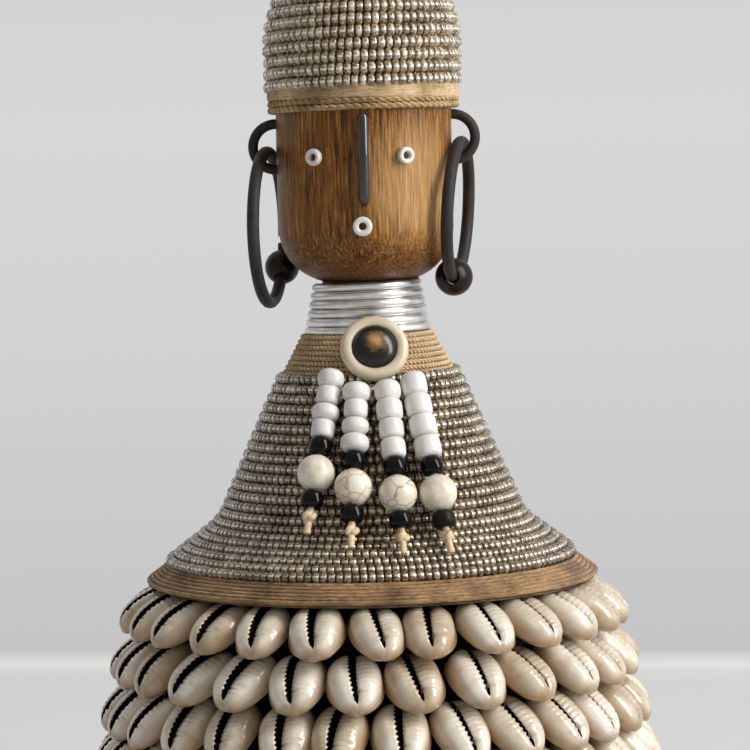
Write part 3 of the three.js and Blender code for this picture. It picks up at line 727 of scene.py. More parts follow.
def outset(point, lean, offset):
    # a profile point moved square out from a side that leans in by so many degrees
    angle = math.radians(lean)
    return point[0] + offset * math.cos(angle), point[1] + offset * math.sin(angle)


def climb(point, lean, length):
    # a profile point moved up along such a side
    angle = math.radians(lean)
    return point[0] - length * math.sin(angle), point[1] + length * math.cos(angle)


def capeLine(offset):
    # the cape's outer line from brim to shoulders, moved outwards by offset
    flare, cone, bend = cape["flareLean"], cape["coneLean"], cape["bendRadius"] - offset
    brim = outset((cape["brimRadius"], cape["brimHeight"]), flare, offset)
    centre = outset(climb(brim, flare, cape["flareLength"]), flare, bend)
    curve = arc(centre, bend, 180 + flare, 180 + cone, 12)
    return [brim] + curve + [climb(curve[-1], cone, cape["coneLength"])]


def shoulderLine(offset):
    foot = outset(capeLine(0)[-1], cape["shoulderLean"], offset)
    return [foot, climb(foot, cape["shoulderLean"], cape["shoulderLength"])]


def hatLine(offset):
    radius = hat["radius"] + offset
    base = hat["floor"] + hat["wall"]
    return [(radius, hat["floor"])] + arc((0, base), (radius, hat["dome"] + offset), 0, 90, 40)


def makeForms(finishes):
    base, edge, height = skirt["baseRadius"], skirt["edge"], skirt["height"]
    topRadius = base - height * math.tan(math.radians(skirt["lean"]))
    skirtProfile = [(0, 0), (base - edge, 0), (base, edge), (topRadius, height), (0, height)]
    under = outset((cape["brimRadius"], cape["brimHeight"]), cape["flareLean"], -cape["brimThickness"])
    shoulders = shoulderLine(0)[-1]
    capeProfile = [(0, cape["floor"]), (topRadius, cape["floor"]), under] + capeLine(0)
    capeProfile += [shoulders, (0, shoulders[1])]
    hatProfile = [(0, hat["floor"])] + hatLine(0)
    forms = [
        ("skirtForm", "skirt_form", skirtProfile, skirt["sides"], "skirtCloth"),
        ("capeForm", "cape_form", capeProfile, cape["sides"], "cloth"),
        ("hatForm", "hat_cap", hatProfile, hat["sides"], "cloth"),
    ]
    for name, node, profile, sides, cloth in forms:
        form = turnPiece(name, profile, sides)
        smooth(form)
        settle(form, "figure", "form_cloth", [node], finishes[cloth])
    print("forms turned:", len(forms))


# windings: beads, jute and wire that lie in turns round the doll

windings = {
    "clearance": 0.3,
    # the brim's solid winding, and the yarn: more and thinner turns, the first ones over the brim's edge
    "brimCord": 1.1,
    "brimTurns": 4,
    "brimGap": 0.46,
    "yarn": 1.14,
    "yarnTurns": 6,
    "yarnStart": -0.9,
    "yarnFuzz": (0.9, 0.3),  # size and height of the unevenness
    # bead rows go on over the yarn, the twine and the strip, so that no cloth shows between them
    "beadRow": 2.1,  # thickness of the solid winding
    "beadPitch": 1.9,  # along the thread
    "beadSizes": (0.94, 1.04),
    "beadStretch": (0.85, 1.25),
    "toneSpread": 0.8,
    # the cape's rows keep a lower tone than the hat's: painted shade of the strands hanging over them
    "capeBead": {
        "diameter": 2.9, "turns": 22, "perTurn": 72, "start": -1.9, "end": 2.2, "seed": 5, "pale": 0.0,
    },
    "hatBead": {
        "diameter": 3.35, "turns": 16, "perTurn": 60, "start": -2.7, "end": 0.1, "seed": 11, "pale": 0.45,
    },
    "plies": 3,
    "plyShare": 0.29,
    "twineWinding": 0.85,
    "twine": 1.55,
    "twineLay": 3.6,
    "twineTurns": 8,
    "twineEnd": 0.5,
    # one ring more than the solid winding has, from the shoulders right up to the chin
    "wireWinding": 1.65,
    "wire": 2.25,
    "wireTurns": 6,
    "wireBeyond": 1.2,
    # one turn more than the solid band has, the upper ones under a flat strip
    "bandWinding": 1.5,
    "bandCord": 1.85,
    "bandLay": 6,
    "bandTurns": 4,
    "strip": {"rise": 3.6, "reach": 1.9, "edge": 0.5, "rows": 4, "sides": 144, "fuzz": (1.5, 0.5)},
}


def lineLength(line):
    return sum(math.dist(here, there) for here, there in zip(line, line[1:]))


def coil(line, start, end, diameter, turns, perTurn=48):
    # centre points of a winding along a line of radius and height, all in mm
    lengths = [0.0]
    for here, there in zip(line, line[1:]):
        lengths.append(lengths[-1] + math.dist(here, there))
    run = end - start - diameter
    points = []
    piece = 0
    for step in range(turns * perTurn + 1):
        place = start + diameter / 2 + run * step / (turns * perTurn)
        while piece < len(line) - 2 and place > lengths[piece + 1]:
            piece += 1
        share = (place - lengths[piece]) / (lengths[piece + 1] - lengths[piece])
        radius = line[piece][0] + (line[piece + 1][0] - line[piece][0]) * share
        height = line[piece][1] + (line[piece + 1][1] - line[piece][1]) * share
        angle = math.pi + 2 * math.pi * step / perTurn
        points.append((radius * math.sin(angle), -radius * math.cos(angle), height))
    return points


def threadAlong(unit, unitLength, points):
    # repeats a unit that lies along x and bends the row along the points
    route = routeCurve("route", points)
    count = int(lineLength(points) / unitLength)
    repeat = unit.modifiers.new("repeat", "ARRAY")
    repeat.count = count
    repeat.use_relative_offset = False
    repeat.use_constant_offset = True
    repeat.constant_offset_displace = (unitLength * mm, 0, 0)
    follow = unit.modifiers.new("follow", "CURVE")
    follow.object = route
    follow.deform_axis = "POS_X"
    applyModifiers(unit)
    discard(route)
    return count


def seedBeadUnit(name, diameter, pitch):
    # one drawn bead along x: a short tube with rounded ends
    clearSelection()
    across = [0.3, 0.68, 1.0, 1.0, 0.68, 0.3]
    along = [0.97, 0.97, 0.62, -0.62, -0.97, -0.97]
    rings = len(along) - 1
    bpy.ops.mesh.primitive_uv_sphere_add(segments=8, ring_count=rings, radius=1, rotation=(0, math.pi / 2, 0))
    unit = bpy.context.object
    unit.name = name
    bpy.ops.object.transform_apply(location=False, rotation=True, scale=False)
    for vertex in unit.data.vertices:
        ring = round(math.acos(max(-1, min(1, vertex.co.x))) / math.pi * rings)
        spoke = Vector((0, vertex.co.y, vertex.co.z))
        if spoke.length > 0.01:
            spoke.normalize()
        vertex.co = spoke * across[ring] * diameter / 2 * mm
        vertex.co.x = pitch / 2 * (1 + along[ring]) * mm
    bpy.ops.object.shade_smooth()
    return unit


def lineFacing(line, height):
    # how a line of radius and height faces at a height, as shares outward and upward
    for here, there in zip(line, line[1:]):
        if height <= there[1]:
            break
    return Vector((there[1] - here[1], here[0] - there[0])).normalized()


def placeBeads(beads, perBead, diameter, pitch, line, seed, pale):
    # makes each bead a little larger or smaller, and marks how far each point lies along the bead and
    # aside from the middle of its outer side, with a tone for the bead
    luck = random.Random(seed)
    marks = beads.data.attributes.new("beadPlace", "FLOAT_VECTOR", "POINT")
    vertices = beads.data.vertices
    for first in range(0, len(vertices), perBead):
        spots = [vertices[number] for number in range(first, first + perBead)]
        middle = sum((spot.co for spot in spots), Vector()) / perBead
        outward = Vector((middle.x, middle.y, 0)).normalized()
        along = Vector((-outward.y, outward.x, 0))
        share = lineFacing(line, middle.z / mm)
        facing = (outward * (1 + share.x) + Vector((0, 0, share.y))).normalized()
        upward = along.cross(facing)
        size = luck.uniform(*windings["beadSizes"])
        stretch = luck.uniform(*windings["beadStretch"])
        # the winding's pale share lifts every bead's tone, so the cape's lower tone is painted shade; the
        # spread between beads is their own
        tone = pale + windings["toneSpread"] * luck.random()
        for number, spot in zip(range(first, first + perBead), spots):
            reach = spot.co - middle
            end = reach.dot(along) / (pitch / 2 * mm) * stretch
            aside = reach.dot(upward) / (diameter / 2 * mm)
            marks.data[number].vector = (end, aside, tone)
            spot.co = middle + reach * size


def ropeUnit(name, diameter, lay, sides=6, steps=4):
    # one ply's share of a twist of cord along x, ready to be repeated
    clearSelection()
    plies = windings["plies"]
    ply = diameter * windings["plyShare"]
    middle = (diameter / 2 - ply) * mm
    for turn in range(plies):
        angle = 2 * math.pi * turn / plies
        spot = (0, math.sin(angle) * middle, math.cos(angle) * middle)
        bpy.ops.mesh.primitive_circle_add(
            vertices=sides, radius=ply * mm, location=spot, rotation=(-angle, math.pi / 2, 0)
        )
        if turn == 0:
            bpy.ops.object.transform_apply()
            bpy.ops.object.mode_set(mode="EDIT")
    bpy.ops.object.mode_set(mode="OBJECT")
    unit = bpy.context.object
    unit.name = name
    twist = unit.modifiers.new("twist", "SCREW")
    twist.axis = "X"
    twist.angle = 2 * math.pi / plies
    twist.screw_offset = lay / plies * mm
    twist.steps = steps
    twist.render_steps = steps
    applyModifiers(unit)
    return unit


def beadWinding(name, node, line, start, size, finishes):
    row, pitch, diameter = windings["beadRow"], windings["beadPitch"], size["diameter"]
    first, last = start + size["start"], lineLength(line) + size["end"]
    points = coil(line, first, last, row, size["turns"], size["perTurn"])
    unit = seedBeadUnit(name, diameter, pitch)
    perBead = len(unit.data.vertices)
    count = threadAlong(unit, pitch, points)
    placeBeads(unit, perBead, diameter, pitch, line, size["seed"], size["pale"])
    settle(unit, "figure", "seed_glass", [node], finishes["seedGlass"])
    print(name, "beads:", count)


def twistedWinding(name, node, points, diameter, lay, finish):
    unit = ropeUnit(name, diameter, lay)
    threadAlong(unit, lay / windings["plies"], points)
    tidyMesh(unit, fillSides=8)
    smooth(unit, 60)
    settle(unit, "figure", "jute", [node], finish)
    print(name, "faces:", len(unit.data.polygons))


def makeBandStrip(finishes):
    size = windings["strip"]
    edge, inner, outer = size["edge"], head["radius"] - size["edge"], head["radius"] + size["reach"]
    low, high = head["bandFloor"] + size["rise"], hat["floor"]
    profile = [(inner, low), (outer - edge, low)] + arc((outer - edge, low + edge), edge, -90, 0, 3)
    for step in range(1, size["rows"] + 1):
        profile.append((outer, low + edge + (high - low - edge) * step / size["rows"]))
    profile.append((inner, high))
    strip = turnPiece("hatBandStrip", profile + profile[:1], size["sides"])
    ruffle(strip, *size["fuzz"])
    smooth(strip, 50)
    settle(strip, "figure", "jute", [], finishes["juteStrip"])


def makeWindings(finishes):
    gap = windings["clearance"]
    cord = windings["brimCord"]
    brimEnd = windings["brimTurns"] * (cord + windings["brimGap"]) + cord
    line = capeLine(gap + cord / 2)
    points = coil(line, windings["yarnStart"], brimEnd, cord, windings["yarnTurns"], perTurn=144)
    yarn = tubePiece("brimJuteYarn", points, windings["yarn"], roundness=3)
    ruffle(yarn, *windings["yarnFuzz"])
    smooth(yarn, 70)
    settle(yarn, "figure", "jute", ["brim_cord"], finishes["juteBrim"])

    beadOffset = gap + windings["beadRow"] / 2
    line = capeLine(beadOffset)
    beadWinding("capeSeedBeads", "cape_bead_strand", line, brimEnd + gap, windings["capeBead"], finishes)

    twine = windings["twineWinding"]
    line = shoulderLine(gap + twine / 2)
    points = coil(line, gap, cape["shoulderLength"] + windings["twineEnd"], twine, windings["twineTurns"])
    size = windings["twine"], windings["twineLay"]
    twistedWinding("shoulderJuteTwine", "shoulder_twine", points, *size, finishes["juteTwine"])

    wire, beyond = windings["wireWinding"], windings["wireBeyond"]
    offset = gap + wire / 2
    foot = (neck["bottomRadius"] + offset, neck["floor"])
    line = [foot, (neck["topRadius"] + offset, neck["floor"] + neck["height"])]
    points = coil(line, gap - beyond, lineLength(line) + beyond, wire, windings["wireTurns"], perTurn=72)
    rings = tubePiece("neckAluminiumWire", points, windings["wire"])
    smooth(rings, 60)
    settle(rings, "figure", "aluminium_wire", ["neck_wire"], finishes["aluminium"])

    cord = windings["bandWinding"]
    reach = head["radius"] + gap + cord / 2
    line = [(reach, head["bandFloor"]), (reach, head["top"])]
    points = coil(line, 0, head["top"] - head["bandFloor"], cord, windings["bandTurns"], perTurn=72)
    size = windings["bandCord"], windings["bandLay"]
    twistedWinding("hatBandJute", "hat_band_cord", points, *size, finishes["jutePale"])
    makeBandStrip(finishes)
    beadWinding("hatSeedBeads", "hat_bead_strand", hatLine(beadOffset), 0, windings["hatBead"], finishes)


# head, face, ears and hoops

neck = {
    "floor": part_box("neck_wire")[0].z / mm - windings["clearance"],
    "bottomRadius": 13.8,
    "topRadius": 11.3,
    "height": 12.6,
}

head = {
    "radius": 22,
    "corner": 14,
    "cornerFrom": -76,  # degrees, where the chin's rounding leaves the neck
    "floor": neck["floor"] + neck["height"],
    "bandFloor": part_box("hat_band_cord")[0].z / mm,
    "top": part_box("hat_band_cord")[1].z / mm,
    "rows": 16,
    "sides": 96,
    "cheek": (12.5, -18.1, 179),  # middle of the painted highlight
    "cheekHighlightFade": (5, 19),  # distances from it over which the painted highlight fades
    "chinShade": (152, 172),  # heights over which the chin's painted shade fades
    "marks": 9,  # size of the carving marks
    "markDepth": 0.35,
    "markLevel": 0.9,  # almost only inward, so that the hoop's bead passes clear
}

face = {
    "eyeDiameter": 4.2,
    "mouthDiameter": 4.8,
    "beadHole": 1.8,
    "beadThickness": 1.8,
    "beadBlunt": 0.65,  # less is squarer
    "beadSteps": 20,
    "seat": 0.1,  # off the wood
    "noseDiameter": 2.6,
    "noseTurn": -0.3,
    "noseLength": 21.8,
    "noseBend": 2.6,
    "noseDepth": 2.5,
    # heights against the top, and shares of the diameter there
    "noseTop": [(0.1, 0.5), (-0.3, 0.8), (-1, 1.0)],
    "noseTaper": 0.5,
    "noseSteps": 8,
}


def makeHead(finishes):
    radius, corner, top, rows = head["radius"], head["corner"], head["top"], head["rows"]
    peak = head["floor"] + corner
    profile = [(0, neck["floor"]), (neck["bottomRadius"], neck["floor"]), (neck["topRadius"], head["floor"])]
    profile += arc((radius - corner, peak), corner, head["cornerFrom"], 0, 14)
    for row in range(1, rows + 1):
        profile.append((radius, peak + (top - peak) * row / rows))
    profile.append((0, top))
    carved = turnPiece("carvedHead", profile, head["sides"])
    ruffle(carved, head["marks"], head["markDepth"], head["markLevel"])
    smooth(carved, 35)
    settle(carved, "figure", "carved_wood", ["carved_figure"], finishes["wood"])
    print("head carved")


def makeFaceBead(name, node, diameter, finishes):
    low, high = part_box(node)
    middle = (low + high) / 2 / mm
    outward, sideways = roundDoll(math.degrees(math.atan2(middle.x, -middle.y)))
    thick, steps = face["beadThickness"], face["beadSteps"]
    across = (diameter / 2 + face["beadHole"] / 2) / 2
    wall = diameter / 2 - across
    profile = []
    for step in range(steps + 1):
        angle = 2 * math.pi * (step % steps) / steps
        parts = math.cos(angle), math.sin(angle)
        flat = [math.copysign(abs(part) ** face["beadBlunt"], part) for part in parts]
        profile.append((across + wall * flat[0], thick / 2 * flat[1]))
    bead = turnPiece(name, profile, 32)
    seat = outward * (head["radius"] + face["seat"] + thick / 2)
    bead.data.transform(frameAt((seat.x, seat.y, middle.z), outward, sideways))
    smooth(bead, 60)
    settle(bead, "figure", "white_glass", [node], finishes["whiteGlass"])


def makeFace(finishes):
    makeFaceBead("leftEyeBead", "left_eye_bead", face["eyeDiameter"], finishes)
    makeFaceBead("rightEyeBead", "right_eye_bead", face["eyeDiameter"], finishes)
    makeFaceBead("mouthBead", "mouth_bead", face["mouthDiameter"], finishes)

    # the nose starts under the hat band and narrows where it bends into the wood
    front = -(head["radius"] + face["seat"] + face["noseDiameter"] / 2)
    bend, steps = face["noseBend"], face["noseSteps"]
    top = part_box("nose_rod")[1].z / mm
    low = top - face["noseLength"] + bend
    points = [(0, front, top + rise) for rise, share in face["noseTop"]] + [(0, front, (top + low) / 2)]
    shares = [share for rise, share in face["noseTop"]] + [1.0]
    points += [(0, ahead, height) for ahead, height in arc((front + bend, low), bend, 180, 270, steps)]
    shares += [1 - face["noseTaper"] * (step / steps) ** 2.5 for step in range(steps + 1)]
    points.append((0, front + bend + face["noseDepth"], low - bend))
    shares.append(shares[-1])
    nose = tubePiece("noseRod", points, face["noseDiameter"], roundness=5, thickness=shares)
    nose.data.transform(Matrix.Rotation(math.radians(face["noseTurn"]), 4, "Z"))
    smooth(nose, 60)
    settle(nose, "figure", "charcoal_leather", ["nose_rod"], finishes["polishedCord"])
    print("face set")


hoops = {
    "wire": 3.1,
    "wireSteps": 72,
    "earWire": 2.5,
    "earDepth": 3.5,
    "earSteps": 24,
    "beadHole": 1.9,
    "beadInset": 0.2,  # from the wire's middle towards the hoop's
    "left": {"side": -1, "radius": 18.7, "gapAngle": 79, "gap": 2.0, "bead": 8.8, "beadAngle": 56},
    "right": {"side": 1, "radius": 16.95, "gapAngle": 0, "gap": 0.0, "bead": 9.5, "beadAngle": -4},
}


def makeEarLoop(side, out, finishes):
    low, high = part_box(side + "_ear_loop")
    middle = (low.z + high.z) / 2 / mm
    bow = (high.z - low.z) / 2 / mm - hoops["earWire"] / 2
    root = out * (head["radius"] - hoops["earDepth"])
    curve = arc((head["radius"], middle), bow, -90, 90, hoops["earSteps"])
    points = [(root, 0, middle - bow)] + [(out * reach, 0, height) for reach, height in curve]
    points.append((root, 0, middle + bow))
    loop = tubePiece(side + "EarLoop", points, hoops["earWire"])
    smooth(loop, 60)
    settle(loop, "figure", "charcoal_leather", [side + "_ear_loop"], finishes["charcoal"])


def makeHoop(side, size, finishes):
    radius = size["radius"]  # of the wire's middle
    slide, swing = hinges[side + "_bead_slide"], hinges[side + "_hoop_swing"]
    across = Vector(slide["axis"])
    forward = Vector(swing["axis"]) * -size["side"]
    turn = axesTurn(across, forward, across.cross(forward))
    place = Matrix.Translation(Vector(slide["pos_m"])) @ turn
    half = math.degrees(size["gap"] / radius / 2)
    start = size["gapAngle"] - 90
    closed = size["gap"] == 0
    curve = arc((0, 0), radius, start + half, start + 360 - half, hoops["wireSteps"])
    points = [(0, ahead, height) for ahead, height in curve]
    ring = tubePiece(side + "Hoop", points[:-1] if closed else points, hoops["wire"], closed=closed)
    ring.data.transform(place)
    smooth(ring, 60)
    settle(ring, side + "_hoop", "charcoal_leather", [side + "_hoop"], finishes["charcoal"])

    profile = barrelProfile(size["bead"] / 2, size["bead"] / 2, hoops["beadHole"], 1.0)
    bead = turnPiece(side + "HoopBead", profile, 40)
    bead.data.transform(Matrix.Rotation(math.pi / 2, 4, "X"))
    bead.data.transform(Matrix.Translation((0, 0, -(radius - hoops["beadInset"]) * mm)))
    bead.data.transform(Matrix.Rotation(math.radians(size["beadAngle"]), 4, "X"))
    bead.data.transform(place)
    smooth(bead, 60)
    settle(bead, side + "_hoop_bead", "dark_wood", [side + "_hoop_bead"], finishes["darkWood"])


def makeEars(finishes):
    for side in ("left", "right"):
        makeEarLoop(side, hoops[side]["side"], finishes)
        makeHoop(side, hoops[side], finishes)
    print("ears and hoops hung")


# medallion on the shoulders

medallion = {
    "turn": 4,
    "rise": 7,  # up the shoulders
    "lift": 2.25,  # off the shoulders' cloth
    "lean": 23,
    "diameter": 16.7,
    "thickness": 3.6,
    "rounding": 1.6,
    "chamfer": (0.5, 0.4),  # of the ring's inner edge, across and down
    "play": 0.05,  # between ring and dome
    "dome": 11,
    "domeRim": 2.8,
    "domeRise": 2.8,
    "wear": (0.3, 0.9),  # from the crown's middle
}


def makeMedallion(finishes):
    outward, sideways = roundDoll(medallion["turn"])
    lean = math.radians(medallion["lean"])
    facing = outward * math.cos(lean) + Vector((0, 0, math.sin(lean)))
    foot, top = shoulderLine(medallion["lift"])
    share = medallion["rise"] / cape["shoulderLength"]
    seat = outward * (foot[0] + (top[0] - foot[0]) * share)
    place = frameAt((seat.x, seat.y, foot[1] + (top[1] - foot[1]) * share), facing, sideways)
    thick, rounding = medallion["thickness"], medallion["rounding"]
    radius, rim, rise = medallion["dome"] / 2, medallion["domeRim"], medallion["domeRise"]
    hole = radius + medallion["play"]
    across, down = medallion["chamfer"]
    edge = (medallion["diameter"] / 2 - rounding, thick / 2)
    ringProfile = [(hole, 0)] + arc(edge, (rounding, thick / 2), -90, 80, 12)
    ringProfile += [(hole + across, thick), (hole, thick - down), (hole, 0)]
    domeProfile = [(0, 0), (radius, 0)] + arc((0, rim), (radius, rise), 0, 90, 12)
    crown = place @ (Vector((*medallion["wear"], rim + rise)) * mm)
    lacquer = makeMaterial("wornBlackLacquer", wornLacquer, crown)
    pieces = [
        ("medallionRing", "medallion_ring", ringProfile, 64, "bone", finishes["bone"]),
        ("medallionDome", "medallion_dome", domeProfile, 56, "black_lacquer", lacquer),
    ]
    for name, node, profile, sides, slot, finish in pieces:
        piece = turnPiece(name, profile, sides)
        piece.data.transform(place)
        smooth(piece, 50)
        settle(piece, "figure", slot, [node], finish)
    print("medallion seated")


# cowrie rows

cowries = {
    "counts": [26, 26, 28, 30, 30, 32],
    "stagger": 0.7,  # share of a shell's width by which each row is moved on from the one above
    "lowestTip": 6.5,
    "rowPitch": 12.4,
    "topSplay": 62,
    "bottomSplay": 34,
    "standOff": 0.3,
    "lift": 0.4,
    # how far single shells stray: along the row, askew and rolled in degrees, and in size
    "stray": 0.8,
    "askew": 12,
    "roll": 6,
    "widths": (1.0, 1.07),
    "lengths": (0.97, 1.02),
    "heights": (0.95, 1.05),
    "seed": 23,
    # one shell
    "length": 19,
    "halfWidth": 6.9,
    "front": 5.3,  # height of the lips over the middle of the shell
    "back": 2.4,
    "bluntness": 2.4,
    "taper": 0.07,
    "dome": 2.3,
    "mouthShift": 0.7,  # the mouth lies left of the middle
    "mouthBend": 0.45,
    "mouthTop": 2.6,  # its width at the upper end
    "mouthLow": 1.4,
    "mouthFrom": -0.86,  # its foot and head, where the shell runs from -1 to 1
    "mouthTo": 0.96,
    "mouthFades": (0.09, 0.08),  # lengths over which it closes at foot and head
    "mouthDepth": 3.6,
    "toothFrom": -0.84,
    "toothTo": 0.9,
    "toothFades": (0.2, 0.1),
    "tooth": 0.5,
    "wrinkle": 0.2,
    "sideSteps": [0.09, 0.28, 0.55, 0.81],  # shares of the way from lip to side
    "leftLip": {"side": -1, "rolled": 0.4, "narrow": 0.12, "tooth": 1, "ridges": [1.0, 0.6, 0.1, 0.0]},
    "rightLip": {"side": 1, "rolled": 1.2, "narrow": 0.25, "tooth": 0.4, "ridges": [1.1, 0.9, 0.25, 0.0]},
    "segments": 18,
    "rings": 46,
    "toothRings": 3,
}


def clamp(value):
    return max(0.0, min(1.0, value))


def cowriePoint(along, step, lip, ring):
    # a point of the shell in mm: along from -1 at the tip to 1, step from 0 in the mouth to 9 at the back
    side = lip["side"]
    bulge = (1 - abs(along) ** cowries["bluntness"]) ** 0.5
    halfWidth = cowries["halfWidth"] * bulge * (1 + cowries["taper"] * along)
    footFade, headFade = cowries["mouthFades"]
    closing = clamp((1 - along) / headFade)
    opening = clamp((along - cowries["mouthFrom"]) / footFade) ** 0.5 * closing
    gape = cowries["mouthLow"] + (cowries["mouthTop"] - cowries["mouthLow"]) * (along + 1) / 2
    gape = max(0.02, gape * opening * bulge ** 0.4) / 2
    middle = (-cowries["mouthShift"] + cowries["mouthBend"] * along * along) * bulge
    edge = middle + side * gape
    span = abs(side * halfWidth - edge)

    def height(share):
        dome = cowries["front"] * bulge * (1 - share ** cowries["dome"]) ** 0.5
        return dome - lip["rolled"] * closing * bulge * math.exp(-((share / lip["narrow"]) ** 2))

    even = math.cos(math.pi * 2 / cowries["toothRings"] * ring)
    footFade, headFade = cowries["toothFades"]
    toothed = clamp((along - cowries["toothFrom"]) / footFade) * opening
    toothed = min(toothed, clamp((cowries["toothTo"] - along) / headFade) * opening)
    depth = cowries["mouthDepth"] * opening * bulge
    if step == 0:
        return middle, height(0) - depth
    if step == 1:
        return middle + side * gape * 0.9, height(0) - depth * 0.85
    if step == 2:
        reach = cowries["tooth"] * (0.4 + 0.6 * even) * toothed * lip["tooth"]
        return edge - side * min(reach, gape * 0.8), height(0)
    if step < 7:
        share = cowries["sideSteps"][step - 3]
        ridge = cowries["wrinkle"] * even * toothed * lip["ridges"][step - 3]
        return edge + side * share * span, height(share) + ridge
    if step == 7:
        return side * halfWidth, 0.0
    if step == 8:
        return side * halfWidth * 0.7, -cowries["back"] * bulge * 0.75
    return 0.0, -cowries["back"] * bulge


def modelCowrie(finishes):
    # a sphere drawn out along y and pushed to the shell's shape, ring by ring
    segments, rings = cowries["segments"], cowries["rings"]
    clearSelection()
    bpy.ops.mesh.primitive_uv_sphere_add(segments=segments, ring_count=rings, radius=1)
    shell = bpy.context.object
    shell.name = "cowrieMaster"
    marks = shell.data.attributes.new("shellPlace", "FLOAT_VECTOR", "POINT")
    asides = [0, 0, 0] + cowries["sideSteps"] + [1.0, 1.2, 1.4]
    steps = []
    for vertex, mark in zip(shell.data.vertices, marks.data):
        ring = round(math.acos(max(-1, min(1, vertex.co.z))) / math.pi * rings)
        even = 1 - 2 * ring / rings
        along = 0.65 * even + 0.35 * math.sin(even * math.pi / 2)  # closer rings towards the ends
        turn = round(math.atan2(vertex.co.y, vertex.co.x) / (2 * math.pi) * segments)
        step = abs(turn)
        lip = cowries["rightLip"] if turn > 0 else cowries["leftLip"]
        across, height = cowriePoint(along, step, lip, ring)
        steps.append(step)
        aside = asides[step] if along > cowries["toothFrom"] else max(asides[step], 0.3)
        mark.vector = (lip["side"] * aside, along, 0.5)
        vertex.co = (across * mm, cowries["length"] / 2 * along * mm, height * mm)
    shell.data.materials.append(finishes["cowrie"])
    shell.data.materials.append(finishes["mouthShade"])
    # the faces deep in the mouth take the painted shade
    for polygon in shell.data.polygons:
        middle = sum(marks.data[number].vector[1] for number in polygon.vertices) / len(polygon.vertices)
        isInside = all(steps[number] <= 2 for number in polygon.vertices)
        isMouth = isInside and cowries["mouthFrom"] < middle < cowries["mouthTo"]
        polygon.material_index = 1 if isMouth else 0
    shell.data.update()
    tidyMesh(shell)
    smooth(shell, 75)
    return shell


def makeCowrieRow(row, shell, luck, finishes):
    count, last = cowries["counts"][row], len(cowries["counts"]) - 1
    splay = cowries["topSplay"] + (cowries["bottomSplay"] - cowries["topSplay"]) * row / last
    splay = math.radians(splay)
    tip = cowries["lowestTip"] + cowries["rowPitch"] * (last - row)
    seat = tip + cowries["length"] * math.cos(splay)
    seatRadius = skirt["baseRadius"] - seat * math.tan(math.radians(skirt["lean"])) + cowries["standOff"]
    middleRadius = seatRadius + cowries["length"] / 2 * math.sin(splay)
    pitch = 2 * math.pi * middleRadius / count
    copies = []
    for place in range(count):
        stray = luck.uniform(-cowries["stray"], cowries["stray"])
        outward, sideways = roundDoll(360 * (place + row * cowries["stagger"] % 1) / count + stray)
        up = -outward * math.sin(splay) + Vector((0, 0, math.cos(splay)))
        facing = outward * math.cos(splay) + Vector((0, 0, math.sin(splay)))
        spot = outward * middleRadius + Vector((0, 0, (tip + seat) / 2)) + facing * cowries["lift"]
        roll = Matrix.Rotation(math.radians(luck.uniform(-1, 1) * cowries["askew"]), 4, "Z")
        roll = roll @ Matrix.Rotation(math.radians(luck.uniform(-cowries["roll"], cowries["roll"])), 4, "Y")
        wide = pitch / 2 / cowries["halfWidth"] * luck.uniform(*cowries["widths"])
        tall = luck.uniform(*cowries["lengths"])
        size = Matrix.Diagonal((wide, tall, luck.uniform(*cowries["heights"]), 1))
        turn = axesTurn(sideways, up, facing)
        copy = copyPiece(shell, "cowrie", Matrix.Translation(spot * mm) @ turn @ roll @ size)
        tone = luck.uniform(0, 1)
        for mark in copy.data.attributes["shellPlace"].data:
            mark.vector[2] = tone
        copies.append(copy)
    band = joinPieces(copies, "cowrieRow%d" % (row + 1))
    node = "cowrie_row_%d" % (row + 1)
    settle(band, "figure", "cowrie_shell", [node], finishes["cowrie"], finishes["mouthShade"])


def makeCowries(finishes):
    shell = modelCowrie(finishes)
    luck = random.Random(cowries["seed"])
    rows = len(cowries["counts"])
    for row in range(rows):
        makeCowrieRow(row, shell, luck, finishes)
    discard(shell)
    print("cowrie rows laid:", rows)


# floor, backdrop and light

studio = {
    # places and sizes in metres
    "floorNear": -2.0,
    "floorBack": 2.0,
    "wallPlace": 0.397,
    "yaw": -8,  # the wall is not quite square to the view
    "halfWidth": 3.0,
    "wallHeight": 3.0,
    # tones at distances in mm: up the wall, darker towards the corner as painted shade, and over the floor
    # away from the wall, with a pale band about 34 mm out as a painted highlight along the table edge
    "wallTones": [
        (0, "#c4c4c4"), (20, "#c7c7c7"), (75, "#cdcdcd"),
        (130, "#d3d3d4"), (200, "#d7d7d8"), (260, "#d3d3d4"),
    ],
    "floorTones": [
        (0, "#cecece"), (12, "#d9d9d8"), (34, "#e8e8e7"), (52, "#dcdcdb"), (72, "#d8d8d8"), (240, "#d9d9d9"),
    ],
    # shares of the tones that are seen as written
    "wallOwn": 1.0,
    "floorOwn": 0.7,
    # place, width and height in metres, and power
    "lamps": {
        "keyLamp": ((1.2, -0.57, 0.85), (0.45, 1.5), 26),
        "topLamp": ((-0.2, -0.6, 1.6), (1.2, 1.2), 1.2),
    },
    "lampAim": (0, 0, 0.13),
    "worldTone": "#f7f5f2",
    "worldStrength": 0.3,
    "reflectedStrength": 0.42,
    "seenStrength": 0.64,
}


